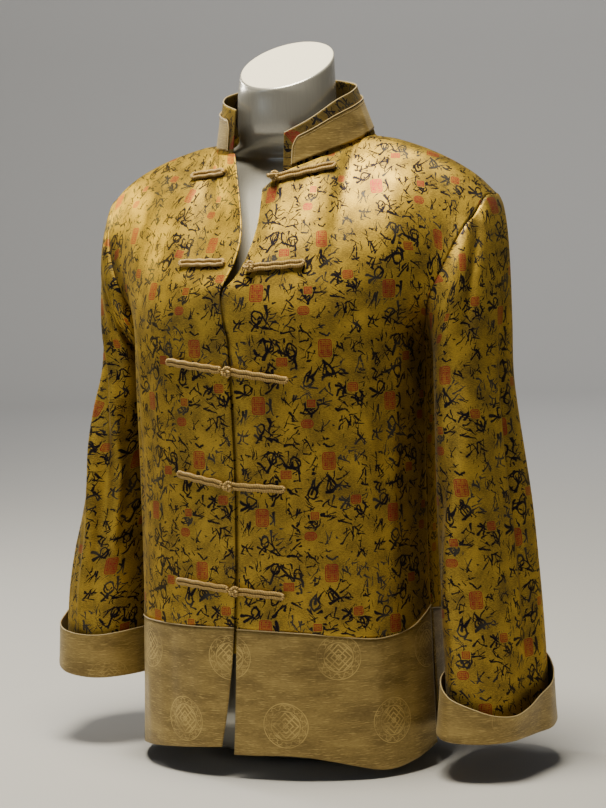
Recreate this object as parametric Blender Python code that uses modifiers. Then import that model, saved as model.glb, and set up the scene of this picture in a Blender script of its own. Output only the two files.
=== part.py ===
"""Mandarin collar jacket with brocade panels, plain satin bands, wide turned-back cuffs and five
cord frogs, worn by a limbless dress form that stands on its flat base.

Metres, +Z up, the front faces -Y and the wearer's left side is +X.
"""

import math

import bpy
import numpy as np

MM = 0.001
OBJECT_NAME = "mandarin_collar_jacket"

# Cloth
WALL = 2.0 * MM
THIN_WALL = 1.2 * MM
GAP = 0.3 * MM
SEAM_GAP = 0.5 * MM
HALF_GAP = SEAM_GAP / 2.0

# Landmarks of the jacket
STAND = 16.0 * MM
VENT_TOP_Z = 252.0 * MM
ARMPIT_Z = 465.0 * MM
SIDE_SEAM_ANGLE = math.radians(86.0)
SQUARENESS = 2.3

# Grid sizes
SHOULDER_COLUMNS = 7
FRONT_COLUMNS = 2 * SHOULDER_COLUMNS
BACK_NECK_COLUMNS = 12
BACK_COLUMNS = 2 * SHOULDER_COLUMNS + BACK_NECK_COLUMNS
LOWER_ROWS = 7
UPPER_ROWS = 12
BAND_ROWS = 4
SLEEVE_COLUMNS = 2 * UPPER_ROWS
CAP_SHARES = (0.0, 0.07, 0.2, 0.38, 0.57, 0.78, 1.0)
SLEEVE_ROWS = 8

# Plan sections of the jacket's body: height, half width, front depth, back depth
BODY_SECTIONS = np.array([
    (-0.0300, 0.1800, 0.1500, 0.1320),
    (0.0500, 0.1770, 0.1530, 0.1320),
    (0.1500, 0.1740, 0.1570, 0.1300),
    (0.2500, 0.1710, 0.1570, 0.1240),
    (0.3300, 0.1710, 0.1570, 0.1200),
    (0.4000, 0.1720, 0.1590, 0.1190),
    (0.4650, 0.1730, 0.1610, 0.1200),
    (0.5200, 0.1730, 0.1620, 0.1210),
])

# Centre front edges below the V: height, wearer's left edge x, wearer's right edge x
FRONT_EDGES = np.array([
    (-0.0300, -0.0150, -0.0340),
    (0.0100, -0.0140, -0.0300),
    (0.0600, -0.0100, -0.0200),
    (0.1200, -0.0060, -0.0105),
    (0.2000, -0.0005, -0.0045),
    (0.3300, 0.0020, -0.0020),
    (0.4650, -0.0005, -0.0040),
])

# Levels of each body piece from its first edge to its last: share, band seam, hem
LEFT_LEVELS = np.array([
    (0.00, 0.1525, 0.0110),
    (0.25, 0.1500, 0.0120),
    (0.42, 0.1450, 0.0040),
    (0.65, 0.1400, -0.0070),
    (0.85, 0.1470, 0.0000),
    (1.00, 0.1640, 0.0100),
])
RIGHT_LEVELS = np.array([
    (0.00, 0.1540, 0.0190),
    (0.30, 0.1520, 0.0120),
    (0.60, 0.1500, 0.0050),
    (1.00, 0.1420, -0.0090),
])
BACK_LEVELS = np.array([
    (0.00, 0.1600, 0.0120),
    (0.12, 0.1480, 0.0030),
    (0.30, 0.1440, 0.0000),
    (0.50, 0.1460, 0.0040),
    (0.70, 0.1440, -0.0010),
    (0.88, 0.1420, -0.0040),
    (1.00, 0.1420, -0.0090),
])

# V edges above the armpit row: share of the way up, x, y, z
LEFT_V_EDGE = np.array([
    (0.00, -0.0005, -0.1610, 0.4650),
    (0.20, -0.0060, -0.1625, 0.4970),
    (0.34, -0.0080, -0.1580, 0.5220),
    (0.44, 0.0040, -0.1500, 0.5370),
    (0.58, 0.0125, -0.1370, 0.5600),
    (0.74, 0.0157, -0.1190, 0.5880),
    (0.90, 0.0143, -0.1040, 0.6140),
    (1.00, 0.0125, -0.0950, 0.6290),
])
RIGHT_V_EDGE = np.array([
    (0.00, -0.0040, -0.1610, 0.4650),
    (0.20, -0.0095, -0.1625, 0.4970),
    (0.34, -0.0115, -0.1580, 0.5220),
    (0.46, -0.0050, -0.1460, 0.5410),
    (0.60, -0.0010, -0.1300, 0.5670),
    (0.74, -0.0060, -0.1120, 0.5920),
    (0.88, -0.0210, -0.0850, 0.6280),
    (1.00, -0.0390, -0.0550, 0.6680),
])

# Neckline and shoulder seam of each front: share of the way across, x, y, z
LEFT_TOP = np.array([
    (0.00, 0.0125, -0.0950, 0.6290),
    (0.10, 0.0340, -0.0860, 0.6470),
    (0.20, 0.0520, -0.0720, 0.6560),
    (0.32, 0.0740, -0.0400, 0.6670),
    (0.43, 0.0870, 0.0080, 0.6780),
    (0.50, 0.0910, 0.0250, 0.6840),
    (0.75, 0.1600, 0.0320, 0.6670),
    (0.90, 0.2100, 0.0370, 0.6400),
    (1.00, 0.2340, 0.0400, 0.6160),
])
RIGHT_TOP = np.array([
    (0.00, -0.0390, -0.0550, 0.6680),
    (0.12, -0.0560, -0.0440, 0.6680),
    (0.26, -0.0740, -0.0240, 0.6690),
    (0.41, -0.0870, 0.0040, 0.6730),
    (0.50, -0.0910, 0.0220, 0.6780),
    (0.75, -0.1550, 0.0260, 0.6610),
    (0.90, -0.2020, 0.0240, 0.6380),
    (1.00, -0.2230, 0.0220, 0.6180),
])

# Back neckline from the wearer's left shoulder point to the right one: share, x, y, z
BACK_NECK = np.array([
    (0.00, 0.0910, 0.0250, 0.6840),
    (0.12, 0.0840, 0.0550, 0.6900),
    (0.30, 0.0540, 0.0840, 0.6990),
    (0.50, 0.0000, 0.0970, 0.7030),
    (0.70, -0.0540, 0.0840, 0.6980),
    (0.88, -0.0840, 0.0540, 0.6870),
    (1.00, -0.0910, 0.0220, 0.6780),
])

# Armhole from the armpit up to the shoulder tip, wearer's left: share, x, y, z
ARMHOLE_FRONT = np.array([
    (0.00, 0.1760, -0.0160, 0.4650),
    (0.25, 0.1890, -0.0460, 0.5050),
    (0.50, 0.2050, -0.0420, 0.5450),
    (0.75, 0.2200, -0.0180, 0.5860),
    (0.90, 0.2300, 0.0140, 0.6080),
    (1.00, 0.2340, 0.0400, 0.6160),
])
ARMHOLE_BACK = np.array([
    (0.00, 0.1760, -0.0160, 0.4650),
    (0.25, 0.1800, 0.0340, 0.5050),
    (0.50, 0.1920, 0.0660, 0.5450),
    (0.75, 0.2120, 0.0700, 0.5860),
    (0.90, 0.2280, 0.0560, 0.6080),
    (1.00, 0.2340, 0.0400, 0.6160),
])

# Sleeve sections: height, centre x, centre y, inner, outer, front and back reach
LEFT_SLEEVE = np.array([
    (0.4200, 0.2070, 0.0120, 0.0300, 0.0480, 0.0700, 0.0700),
    (0.3600, 0.2100, 0.0100, 0.0310, 0.0520, 0.0750, 0.0750),
    (0.2800, 0.2150, 0.0080, 0.0340, 0.0590, 0.0810, 0.0810),
    (0.1800, 0.2190, 0.0070, 0.0340, 0.0650, 0.0870, 0.0870),
    (0.1000, 0.2230, 0.0060, 0.0330, 0.0660, 0.0900, 0.0900),
    (0.0200, 0.2260, 0.0050, 0.0340, 0.0660, 0.0920, 0.0920),
])
RIGHT_SLEEVE = np.array([
    (0.4200, 0.2030, 0.0340, 0.0240, 0.0390, 0.0640, 0.0660),
    (0.3600, 0.2110, 0.0340, 0.0310, 0.0450, 0.0680, 0.0700),
    (0.2800, 0.2230, 0.0330, 0.0410, 0.0540, 0.0730, 0.0750),
    (0.1800, 0.2370, 0.0320, 0.0500, 0.0630, 0.0790, 0.0810),
    (0.1000, 0.2410, 0.0300, 0.0500, 0.0640, 0.0830, 0.0840),
    (0.0200, 0.2440, 0.0280, 0.0520, 0.0650, 0.0850, 0.0860),
])

# Cuffs: turn (0 inner, 0.25 front, 0.5 outer, 0.75 back), fold and rim height, fold and rim reach
LEFT_CUFF = np.array([
    (0.00, 0.0340, 0.0920, 0.0060, 0.0030),
    (0.12, 0.0310, 0.0900, 0.0130, 0.0060),
    (0.25, 0.0290, 0.0740, 0.0130, 0.0140),
    (0.37, 0.0280, 0.0560, 0.0110, 0.0190),
    (0.50, 0.0290, 0.0780, 0.0090, 0.0120),
    (0.60, 0.0310, 0.0960, 0.0080, 0.0040),
    (0.75, 0.0330, 0.1040, 0.0060, 0.0030),
    (0.90, 0.0340, 0.1000, 0.0050, 0.0030),
    (1.00, 0.0340, 0.0920, 0.0060, 0.0030),
])
RIGHT_CUFF = np.array([
    (0.00, 0.0690, 0.1220, 0.0050, 0.0030),
    (0.12, 0.0680, 0.1190, 0.0100, 0.0090),
    (0.25, 0.0670, 0.1150, 0.0100, 0.0120),
    (0.37, 0.0740, 0.1220, 0.0090, 0.0100),
    (0.50, 0.0960, 0.1460, 0.0060, 0.0020),
    (0.60, 0.1020, 0.1520, 0.0050, 0.0020),
    (0.75, 0.0960, 0.1500, 0.0050, 0.0030),
    (0.90, 0.0800, 0.1340, 0.0050, 0.0030),
    (1.00, 0.0690, 0.1220, 0.0050, 0.0030),
])
FOLD_DROP = 3.0 * MM

# Collar's rim: share of the way round from the wearer's left front end, x, y, z
COLLAR_RIM = np.array([
    (0.00, 0.0340, -0.0800, 0.6895),
    (0.10, 0.0540, -0.0530, 0.7045),
    (0.20, 0.0680, -0.0170, 0.7230),
    (0.30, 0.0740, 0.0220, 0.7350),
    (0.40, 0.0560, 0.0650, 0.7440),
    (0.50, 0.0000, 0.0880, 0.7500),
    (0.60, -0.0560, 0.0650, 0.7440),
    (0.70, -0.0740, 0.0200, 0.7350),
    (0.82, -0.0730, -0.0080, 0.7285),
    (0.92, -0.0570, -0.0370, 0.7220),
    (1.00, -0.0360, -0.0540, 0.7160),
])
# Where the collar's seam meets the ends of the neckline, as shares of each front's top edge
COLLAR_LEFT_START = 0.10
COLLAR_RIGHT_END = 0.02
SHOULDER_SHARE = 0.5
COLLAR_SHOULDERS = (0.3, 0.7)
COLLAR_LIFT = 1.2 * MM
COLLAR_COLUMNS = 32
COLLAR_ROWS = 3
OVERLAY_SPAN = (0.05, 0.72)

# Dress form sections: height, centre y, half width, front depth, back depth
FORM_SECTIONS = np.array([
    (-0.016, 0.0040, 0.0850, 0.0520, 0.0620),
    (-0.011, 0.0040, 0.1000, 0.0660, 0.0740),
    (0.004, 0.0030, 0.1280, 0.0920, 0.0960),
    (0.030, 0.0020, 0.1480, 0.1100, 0.1100),
    (0.080, 0.0000, 0.1550, 0.1170, 0.1170),
    (0.140, 0.0000, 0.1530, 0.1170, 0.1150),
    (0.200, 0.0000, 0.1430, 0.1120, 0.1060),
    (0.260, 0.0000, 0.1310, 0.1080, 0.0980),
    (0.300, 0.0000, 0.1280, 0.1100, 0.0950),
    (0.360, 0.0000, 0.1340, 0.1220, 0.0980),
    (0.420, 0.0000, 0.1440, 0.1400, 0.1020),
    (0.470, 0.0020, 0.1500, 0.1460, 0.1040),
    (0.515, 0.0050, 0.1560, 0.1370, 0.1020),
    (0.560, 0.0110, 0.1660, 0.1160, 0.0940),
    (0.596, 0.0180, 0.1760, 0.0940, 0.0780),
    (0.620, 0.0240, 0.1800, 0.0760, 0.0600),
    (0.638, 0.0270, 0.1740, 0.0600, 0.0480),
    (0.652, 0.0280, 0.1560, 0.0480, 0.0472),
    (0.663, 0.0265, 0.1130, 0.0380, 0.0440),
    (0.676, 0.0150, 0.0640, 0.0460, 0.0520),
    (0.695, 0.0090, 0.0570, 0.0540, 0.0540),
    (0.730, 0.0060, 0.0540, 0.0550, 0.0540),
])
FORM_SQUARENESS = 2.25
NECK_TOP_CENTRE = (0.001, 0.005, 0.766)
NECK_TOP_HALF_WIDTH = 0.053
NECK_TOP_HALF_DEPTH = 0.055
NECK_TOP_SLOPE = 0.50
NECK_ROUNDING = 2.5 * MM
FORM_COLUMNS = 36

# Under-placket
PLACKET_HALF_WIDTH = 14.0 * MM
PLACKET_BOTTOM_Z = 124.0 * MM
PLACKET_TOP_SHARE = 0.36
PLACKET_BEHIND = 2.3 * MM
PLACKET_BOW = 0.10
PLACKET_COLUMNS = 4
PLACKET_ROWS = 12

# Frogs: loop strap's end x, z and tip x, z; ball x, z; button strap's end x, z; lift off the cloth
FROGS = np.array([
    (-0.0960, 0.6420, -0.0500, 0.6480, 0.0270, 0.6400, 0.0800, 0.6520, 0.0007),
    (-0.0740, 0.5485, -0.0150, 0.5500, 0.0200, 0.5450, 0.0750, 0.5490, 0.0004),
    (-0.0800, 0.4440, -0.0125, 0.4365, -0.0030, 0.4350, 0.0625, 0.4255, 0.0004),
    (-0.0710, 0.3205, -0.0163, 0.3115, -0.0068, 0.3100, 0.0555, 0.3075, 0.0004),
    (-0.0760, 0.2020, -0.0125, 0.1965, -0.0030, 0.1950, 0.0520, 0.1910, 0.0004),
])
CORD_RADIUS = 2.2 * MM
STRAP_HALF_WIDTH = 4.3 * MM
BALL_RADIUS = 6.0 * MM
STRAP_SIDES = 8
STRAP_STEPS = 7
BALL_STEPS = 6
STRAP_TIP_WIDTH, STRAP_TIP_THICKNESS, STRAP_TIP_LIFT = 0.6, 0.7, 0.3
STRAP_FIRST_SHARE = 0.03
BALL_NECK = 1.6
BALL_FIRST_TURN, BALL_TURNS = 0.14, 0.80

# Side vents and the narrower left half
VENT_ANGLE = math.radians(1.6)
VENT_FLARE = 1.5 * MM
LEFT_SIDE_SCALE = 0.975

# Columns of the level tables
SEAM_LEVEL, HEM_LEVEL = 0, 1

# End directions of the fronts' rows above the armpit: off the chest, the neck, the shoulder and the arm
CHEST_LEAVE = (0.0, -0.020, 0.150)
ARM_LEAVE = (0.0, 0.0, 0.260)
NECK_ARRIVE = (0.0, 0.070, 0.120)
SHOULDER_ARRIVE = (0.0, 0.220, 0.015)
ARM_ARRIVE = (0.0, 0.060, 0.010)

# Share by which the row below the shoulder seam follows the seam's slope
SHOULDER_FLATTEN = 0.97

# End directions of the back's rows above the armpit
BACK_LEAVE = (0.0, 0.0, 0.250)
BACK_NECK_ARRIVE = (0.0, -0.040, 0.120)
BACK_SHOULDER_ARRIVE = (0.0, -0.250, 0.015)
BACK_ARM_ARRIVE = (0.0, -0.100, 0.010)

# Smoothing passes on the upper back
EVENING_PASSES = 6

# Sleeve cap
CAP_END_Z = 0.420
SLEEVE_START = 0.8 * MM
CAP_LEAVE = np.array([
    (0.00, 0.006, 0.000, -0.040),
    (0.12, 0.030, -0.030, -0.060),
    (0.25, 0.060, -0.050, -0.060),
    (0.38, 0.050, -0.030, -0.050),
    (0.50, 0.055, 0.000, -0.030),
    (0.62, 0.050, 0.030, -0.050),
    (0.75, 0.060, 0.045, -0.060),
    (0.88, 0.030, 0.030, -0.060),
    (1.00, 0.006, 0.000, -0.040),
])
CAP_ARRIVE_LENGTH = np.array([(0.0, 0.030), (0.25, 0.160), (0.5, 0.260), (0.75, 0.160), (1.0, 0.030)])

# Cuff rows above the fold, and the cuff's least distance from the sleeve
CUFF_SHARES = (0.25, 0.6, 1.0)
CUFF_CLEAR = WALL + 1.6 * MM

# Colour and roughness of each cloth, of the form and of the cords
BROCADE = ((0.42, 0.29, 0.07), 0.45)
SATIN = ((0.27, 0.20, 0.07), 0.50)
SHADED_BROCADE = ((0.12, 0.08, 0.03), 0.60)
SKIN = ((0.62, 0.61, 0.58), 0.45)
CORD = ((0.55, 0.38, 0.12), 0.50)

PART = bpy.data.collections.new(OBJECT_NAME)


def through(keys, values, where):
    """Smooth values at the given keys: a cubic through the table rows with averaged slopes."""
    keys, values = np.asarray(keys, float), np.asarray(values, float)
    where = np.clip(np.atleast_1d(np.asarray(where, float)), keys[0], keys[-1])
    chords = np.diff(values, axis=0) / np.diff(keys)[:, None]
    slopes = np.vstack([chords[:1], 0.5 * (chords[:-1] + chords[1:]), chords[-1:]])
    index = np.clip(np.searchsorted(keys, where, side="right") - 1, 0, len(keys) - 2)
    step = (keys[index + 1] - keys[index])[:, None]
    t = ((where - keys[index])[:, None]) / step
    h00, h10 = 2 * t**3 - 3 * t**2 + 1, t**3 - 2 * t**2 + t
    h01, h11 = -2 * t**3 + 3 * t**2, t**3 - t**2
    return (h00 * values[index] + h10 * step * slopes[index]
            + h01 * values[index + 1] + h11 * step * slopes[index + 1])


def table_at(table, where):
    """The value columns of a table at places along its first column."""
    table = table if table[0, 0] < table[-1, 0] else table[::-1]
    return through(table[:, 0], table[:, 1:], where)


def ramp(value, low, high):
    """0 below low, 1 above high, and a smooth step between."""
    t = np.clip((np.asarray(value, float) - low) / (high - low), 0.0, 1.0)
    return t * t * (3.0 - 2.0 * t)


def plan_point(half_width, front, back, angle, squareness=SQUARENESS):
    """Point of a rounded plan section, the angle counted from the front towards +X."""
    power = 2.0 / squareness
    s, c = np.sin(angle), np.cos(angle)
    depth = np.where(c > 0.0, front, back)
    return (half_width * np.sign(s) * np.abs(s) ** power,
            -depth * np.sign(c) * np.abs(c) ** power)


def body_row(angles, heights):
    """Row of the jacket's outer face: one point per angle, each at its own height."""
    half_width, front, back = table_at(BODY_SECTIONS, heights).T
    x, y = plan_point(half_width, front, back, angles)
    return np.stack([x, y, np.broadcast_to(heights, x.shape)], axis=1)


def hermite(start, end, leave, arrive, share):
    """Cubic from start to end with the given end directions."""
    t = np.asarray(share, float)[:, None, None]
    return ((2 * t**3 - 3 * t**2 + 1) * start + (t**3 - 2 * t**2 + t) * leave
            + (-2 * t**3 + 3 * t**2) * end + (t**3 - t**2) * arrive)


def vent_opening(heights):
    """How far the side vent is open at each height, 0 at its top and 1 at the hem."""
    return 1.0 - ramp(heights, 0.0, VENT_TOP_Z)


def front_lower(side, rows_of_heights):
    """Outer face of a front below the armpit, centre edge first, for side +1 (wearer's left) or -1."""
    share = np.linspace(0.0, 1.0, FRONT_COLUMNS + 1)
    rows = []
    for heights in rows_of_heights:
        opening = vent_opening(heights)
        row = body_row(share * (SIDE_SEAM_ANGLE - opening * VENT_ANGLE), heights)
        row[:, 0] += opening * VENT_FLARE * share**6
        edge = table_at(FRONT_EDGES, heights)[:, 0 if side > 0 else 1]
        row[:, 0] *= side * (LEFT_SIDE_SCALE if side > 0 else 1.0)
        row[:, 0] += edge * (1.0 - share) ** 2
        rows.append(row)
    grid = np.array(rows)
    grid[:, -1, 1] -= HALF_GAP
    return grid


def level_rows(levels, columns, first, last, count):
    """Heights of rows between two levels; each level is a column number of the table or a height."""
    share = np.linspace(0.0, 1.0, columns + 1)
    values = table_at(levels, share)
    low, high = (values[:, place] + nudge if place is not None else np.full_like(share, nudge)
                 for place, nudge in (first, last))
    return [low + (high - low) * part for part in np.linspace(0.0, 1.0, count + 1)]


def panel_rows(levels, columns):
    """Heights of the rows of a brocade panel from its band seam up to the armpit."""
    return level_rows(levels, columns, (SEAM_LEVEL, HALF_GAP), (None, ARMPIT_Z), LOWER_ROWS)


def band_rows(levels, columns):
    """Heights of the rows of a plain band from its hem up to its seam."""
    return level_rows(levels, columns, (HEM_LEVEL, 0.0), (SEAM_LEVEL, -HALF_GAP), BAND_ROWS)


def front_levels(side):
    """Level table of a front."""
    return LEFT_LEVELS if side > 0 else RIGHT_LEVELS


def armhole_edge(table, side, low, high):
    """Armhole edge of a panel from the armpit to the shoulder tip, drawn onto its two end points."""
    up = np.linspace(0.0, 1.0, UPPER_ROWS + 1)[:, None]
    edge = table_at(table, up[:, 0]) * (side, 1.0, 1.0)
    return edge + (low - edge[0]) * (1.0 - up) ** 2 + (high - edge[-1]) * up**2


def front_upper(side):
    """Outer face of a front from the armpit row up to the neckline and shoulder seam."""
    share = np.linspace(0.0, 1.0, FRONT_COLUMNS + 1)
    up = np.linspace(0.0, 1.0, UPPER_ROWS + 1)
    base = front_lower(side, [np.full_like(share, ARMPIT_Z)])[0]
    top = front_top(side)
    neck, shoulder, arm = (np.array(v) for v in (NECK_ARRIVE, SHOULDER_ARRIVE, ARM_ARRIVE))
    to_shoulder = ramp(share, 0.15, 0.55)[:, None]
    to_arm = ramp(share, 0.70, 1.0)[:, None]
    arrive = (neck * (1 - to_shoulder) + shoulder * to_shoulder) * (1 - to_arm) + arm * to_arm
    arrive[:, 0] *= side
    outward = ramp(share, 0.1, 0.6)[:, None]
    leave = np.array(CHEST_LEAVE) * (1.0 - outward) + np.array(ARM_LEAVE) * outward
    grid = hermite(base, top, leave, arrive, up)
    edge = table_at(LEFT_V_EDGE if side > 0 else RIGHT_V_EDGE, up)
    armhole = armhole_edge(ARMHOLE_FRONT, side, base[-1], top[-1])
    centre_pull = ((1.0 - share) ** 3)[None, :, None]
    arm_pull = (share**4)[None, :, None]
    grid = grid + (edge - grid[:, 0])[:, None, :] * centre_pull
    grid = grid + (armhole - grid[:, -1])[:, None, :] * arm_pull
    return grid


def front_grid(side):
    """Whole outer face of a front from the band seam to the shoulder, with its drape."""
    heights = panel_rows(front_levels(side), FRONT_COLUMNS)
    grid = np.concatenate([front_lower(side, heights), front_upper(side)[1:]])
    return with_shoulder_gap(grid, ramp(np.linspace(0.0, 1.0, FRONT_COLUMNS + 1), 0.45, 0.57))


def with_shoulder_gap(grid, shoulder, direction=-1.0):
    """Levels the last rows into the shoulder seam and moves the top row off it by half a gap."""
    grid = grid.copy()
    top = grid[-1]
    run = np.gradient(top[:, 0])
    slope = np.gradient(top[:, 2]) / np.where(np.abs(run) < MM, MM, run)
    level = top[:, 2] + slope * (grid[-2, :, 0] - top[:, 0])
    grid[-2, :, 2] += (level - grid[-2, :, 2]) * SHOULDER_FLATTEN * shoulder
    grid[-1, :, 1] += direction * HALF_GAP
    return grid


def back_lower(rows_of_heights):
    """Outer face of the back below the armpit, from the wearer's left side seam to the right."""
    share = np.linspace(0.0, 1.0, BACK_COLUMNS + 1)
    rows = []
    for heights in rows_of_heights:
        start = SIDE_SEAM_ANGLE + vent_opening(heights) * VENT_ANGLE
        rows.append(body_row(start + share * (2 * math.pi - 2 * start), heights))
    grid = np.array(rows)
    grid[:, :, 0] *= np.where(grid[:, :, 0] > 0.0, LEFT_SIDE_SCALE, 1.0)
    grid[:, [0, -1], 1] += HALF_GAP
    return grid


def front_top(side):
    """Top edge of a front, from the centre edge to the shoulder tip."""
    share = np.linspace(0.0, 1.0, FRONT_COLUMNS + 1)
    return table_at(LEFT_TOP if side > 0 else RIGHT_TOP, share)


def back_top():
    """Top edge of the back: the fronts' shoulder seams and the neckline between."""
    left = front_top(1.0)[:SHOULDER_COLUMNS:-1]
    right = front_top(-1.0)[SHOULDER_COLUMNS + 1:]
    neck = table_at(BACK_NECK, np.linspace(0.0, 1.0, BACK_NECK_COLUMNS + 1))
    return np.concatenate([left, neck, right])


def back_upper():
    """Outer face of the back from the armpit row up to the neckline and shoulder seams."""
    share = np.linspace(0.0, 1.0, BACK_COLUMNS + 1)
    up = np.linspace(0.0, 1.0, UPPER_ROWS + 1)
    out = np.abs(2.0 * share - 1.0)
    base = back_lower([np.full_like(share, ARMPIT_Z)])[0]
    top = back_top()
    neck, shoulder, arm = (
        np.array(v) for v in (BACK_NECK_ARRIVE, BACK_SHOULDER_ARRIVE, BACK_ARM_ARRIVE))
    to_shoulder = ramp(out, 0.15, 0.50)[:, None]
    to_arm = ramp(out, 0.50, 1.0)[:, None]
    arrive = (neck * (1 - to_shoulder) + shoulder * to_shoulder) * (1 - to_arm) + arm * to_arm
    leave = np.tile(np.array(BACK_LEAVE), (len(share), 1))
    grid = hermite(base, top, leave, arrive, up)
    for side, column in ((1.0, 0), (-1.0, -1)):
        armhole = armhole_edge(ARMHOLE_BACK, side, base[column], top[column])
        weight = np.clip(side * (1.0 - 2.0 * share), 0.0, 1.0)[None, :, None] ** 5
        grid = grid + (armhole - grid[:, column])[:, None, :] * weight
    return evened(grid)


def evened(grid):
    """Evens the inner points of a grid along its rows, leaving its four edges as they are."""
    grid = grid.copy()
    fade = np.linspace(0.0, 1.0, len(grid))[1:-1, None, None]
    for _ in range(EVENING_PASSES):
        mean = 0.5 * (grid[1:-1, 2:] + grid[1:-1, :-2])
        grid[1:-1, 1:-1] += 0.5 * fade * (mean - grid[1:-1, 1:-1])
    return grid


def back_grid():
    """Whole outer face of the back from the band seam up."""
    grid = np.concatenate([back_lower(panel_rows(BACK_LEVELS, BACK_COLUMNS)), back_upper()[1:]])
    out = np.abs(2.0 * np.linspace(0.0, 1.0, BACK_COLUMNS + 1) - 1.0)
    return with_shoulder_gap(grid, ramp(out, 0.41, 0.54), 1.0)


def sleeve_ring(table, height, turns, side):
    """Ring of a sleeve at a height; turns count from the inner side by the front."""
    cx, cy, inner, outer, front, back = table_at(table, height)[0]
    angle = 2.0 * math.pi * turns
    lateral = np.where(np.cos(angle) > 0.0, inner, outer)
    fore = np.where(np.sin(angle) > 0.0, front, back)
    x = cx - lateral * np.cos(angle)
    y = cy - fore * np.sin(angle)
    return np.stack([side * x, y, np.full_like(x, height)], axis=1)


def armhole_ring(side):
    """Armhole points round from the armpit by the front to the shoulder tip and down the back."""
    front = front_grid(side)[LOWER_ROWS:, -1]
    back = back_grid()[LOWER_ROWS:, 0 if side > 0 else -1]
    return np.concatenate([front, back[-2:0:-1]])


def cap_rows(side, table, turns):
    """Sleeve cap rows from the armhole down to the first full ring."""
    share = np.array(CAP_SHARES)
    start = armhole_ring(side)
    end = sleeve_ring(table, CAP_END_Z, turns, side)
    leave = table_at(CAP_LEAVE, turns) * (side, 1.0, 1.0)
    arrive = np.zeros_like(leave)
    arrive[:, 2] = -table_at(CAP_ARRIVE_LENGTH, turns)[:, 0]
    grid = hermite(start, end, leave, arrive, share)
    direction = leave / np.linalg.norm(leave, axis=1)[:, None]
    grid[0] += direction * SLEEVE_START
    return grid


def sleeve_fold(turns, height):
    """Outward reach of the sleeve's long folds at each turn."""
    low = ramp(-height, -0.42, -0.30)
    crease = np.exp(-((turns - 0.44) / 0.035) ** 2)
    swell = np.exp(-((turns - 0.33) / 0.06) ** 2)
    return low * (-0.007 * crease + 0.003 * swell)


def sleeve_grid(side):
    """Whole outer face of a sleeve, closed round, from the armhole to the cuff's fold."""
    table = LEFT_SLEEVE if side > 0 else RIGHT_SLEEVE
    cuff = LEFT_CUFF if side > 0 else RIGHT_CUFF
    turns = np.arange(SLEEVE_COLUMNS) / SLEEVE_COLUMNS
    rows = list(cap_rows(side, table, turns))
    bottom = table_at(cuff, turns)[:, 0] + FOLD_DROP
    for share in np.linspace(0.0, 1.0, SLEEVE_ROWS + 1)[1:]:
        heights = CAP_END_Z + share * (bottom - CAP_END_Z)
        rows.append(sleeve_points(side, table, turns, heights))
    return np.array(rows)


def sleeve_points(side, table, turns, heights):
    """Points of a sleeve's outer face, one per turn, each at its own height."""
    points = []
    for turn, height in zip(turns, heights):
        point = sleeve_ring(table, max(height, table[-1, 0]), np.array([turn]), side)[0]
        point[2] = height
        points.append(point)
    points = np.array(points)
    outward = sleeve_outward(side, turns)
    return points + outward * sleeve_fold(turns, heights)[:, None]


def sleeve_outward(side, turns):
    """Level direction out of a sleeve at each turn."""
    angle = 2.0 * math.pi * np.asarray(turns)
    return np.stack([-side * np.cos(angle), -np.sin(angle), np.zeros_like(angle)], axis=1)


def cuff_grid(side):
    """Turned-back cuff, closed round: from the sleeve's end under the fold and up to the rim."""
    table = LEFT_SLEEVE if side > 0 else RIGHT_SLEEVE
    cuff = LEFT_CUFF if side > 0 else RIGHT_CUFF
    turns = np.arange(SLEEVE_COLUMNS) / SLEEVE_COLUMNS
    fold_z, rim_z, fold_reach, rim_reach = table_at(cuff, turns).T
    outward = sleeve_outward(side, turns)

    def ring(height, reach):
        row = sleeve_points(side, table, turns, height) + outward * np.reshape(reach, (-1, 1))
        row[:, 2] = height
        return row

    rows = [ring(fold_z + FOLD_DROP - GAP, np.zeros_like(turns)),
            ring(fold_z, 0.2 * fold_reach),
            ring(fold_z - 0.3 * FOLD_DROP, 0.6 * fold_reach),
            ring(fold_z + 0.3 * FOLD_DROP, fold_reach)]
    for share in CUFF_SHARES:
        clear = fold_reach + (np.maximum(rim_reach, CUFF_CLEAR) - fold_reach) * share
        rows.append(ring(fold_z + 0.3 * FOLD_DROP + (rim_z - fold_z) * share, clear))
    return np.array(rows)


def neckline(shares):
    """Points of the neckline seam, round from the wearer's left front end to the right one."""
    left, right = COLLAR_SHOULDERS
    points = []
    for share in shares:
        if share < left:
            place = COLLAR_LEFT_START + (SHOULDER_SHARE - COLLAR_LEFT_START) * share / left
            points.append(table_at(LEFT_TOP, place)[0])
        elif share <= right:
            points.append(table_at(BACK_NECK, (share - left) / (right - left))[0])
        else:
            place = SHOULDER_SHARE + (COLLAR_RIGHT_END - SHOULDER_SHARE) * (share - right) / (1 - right)
            points.append(table_at(RIGHT_TOP, place)[0])
    return np.array(points)


def collar_point_rows(shares, ups, lift=0.0):
    """Grid of the collar's outer face, with a lift off it along its normal."""
    seam, rim = neckline(shares), table_at(COLLAR_RIM, shares)
    seam[:, 2] += COLLAR_LIFT
    grid = np.array([seam + (rim - seam) * up for up in ups])
    if lift:
        grid = grid + grid_normals(grid, flip=False) * lift
    return grid


def grid_normals(grid, flip, closed=False):
    """Unit normals of a grid's points by its row and column directions."""
    across = np.gradient(grid, axis=1)
    if closed:
        across = 0.5 * (np.roll(grid, -1, axis=1) - np.roll(grid, 1, axis=1))
    along = np.gradient(grid, axis=0)
    normal = np.cross(across, along)
    normal /= np.linalg.norm(normal, axis=2)[:, :, None] + 1e-12
    return -normal if flip else normal


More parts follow.
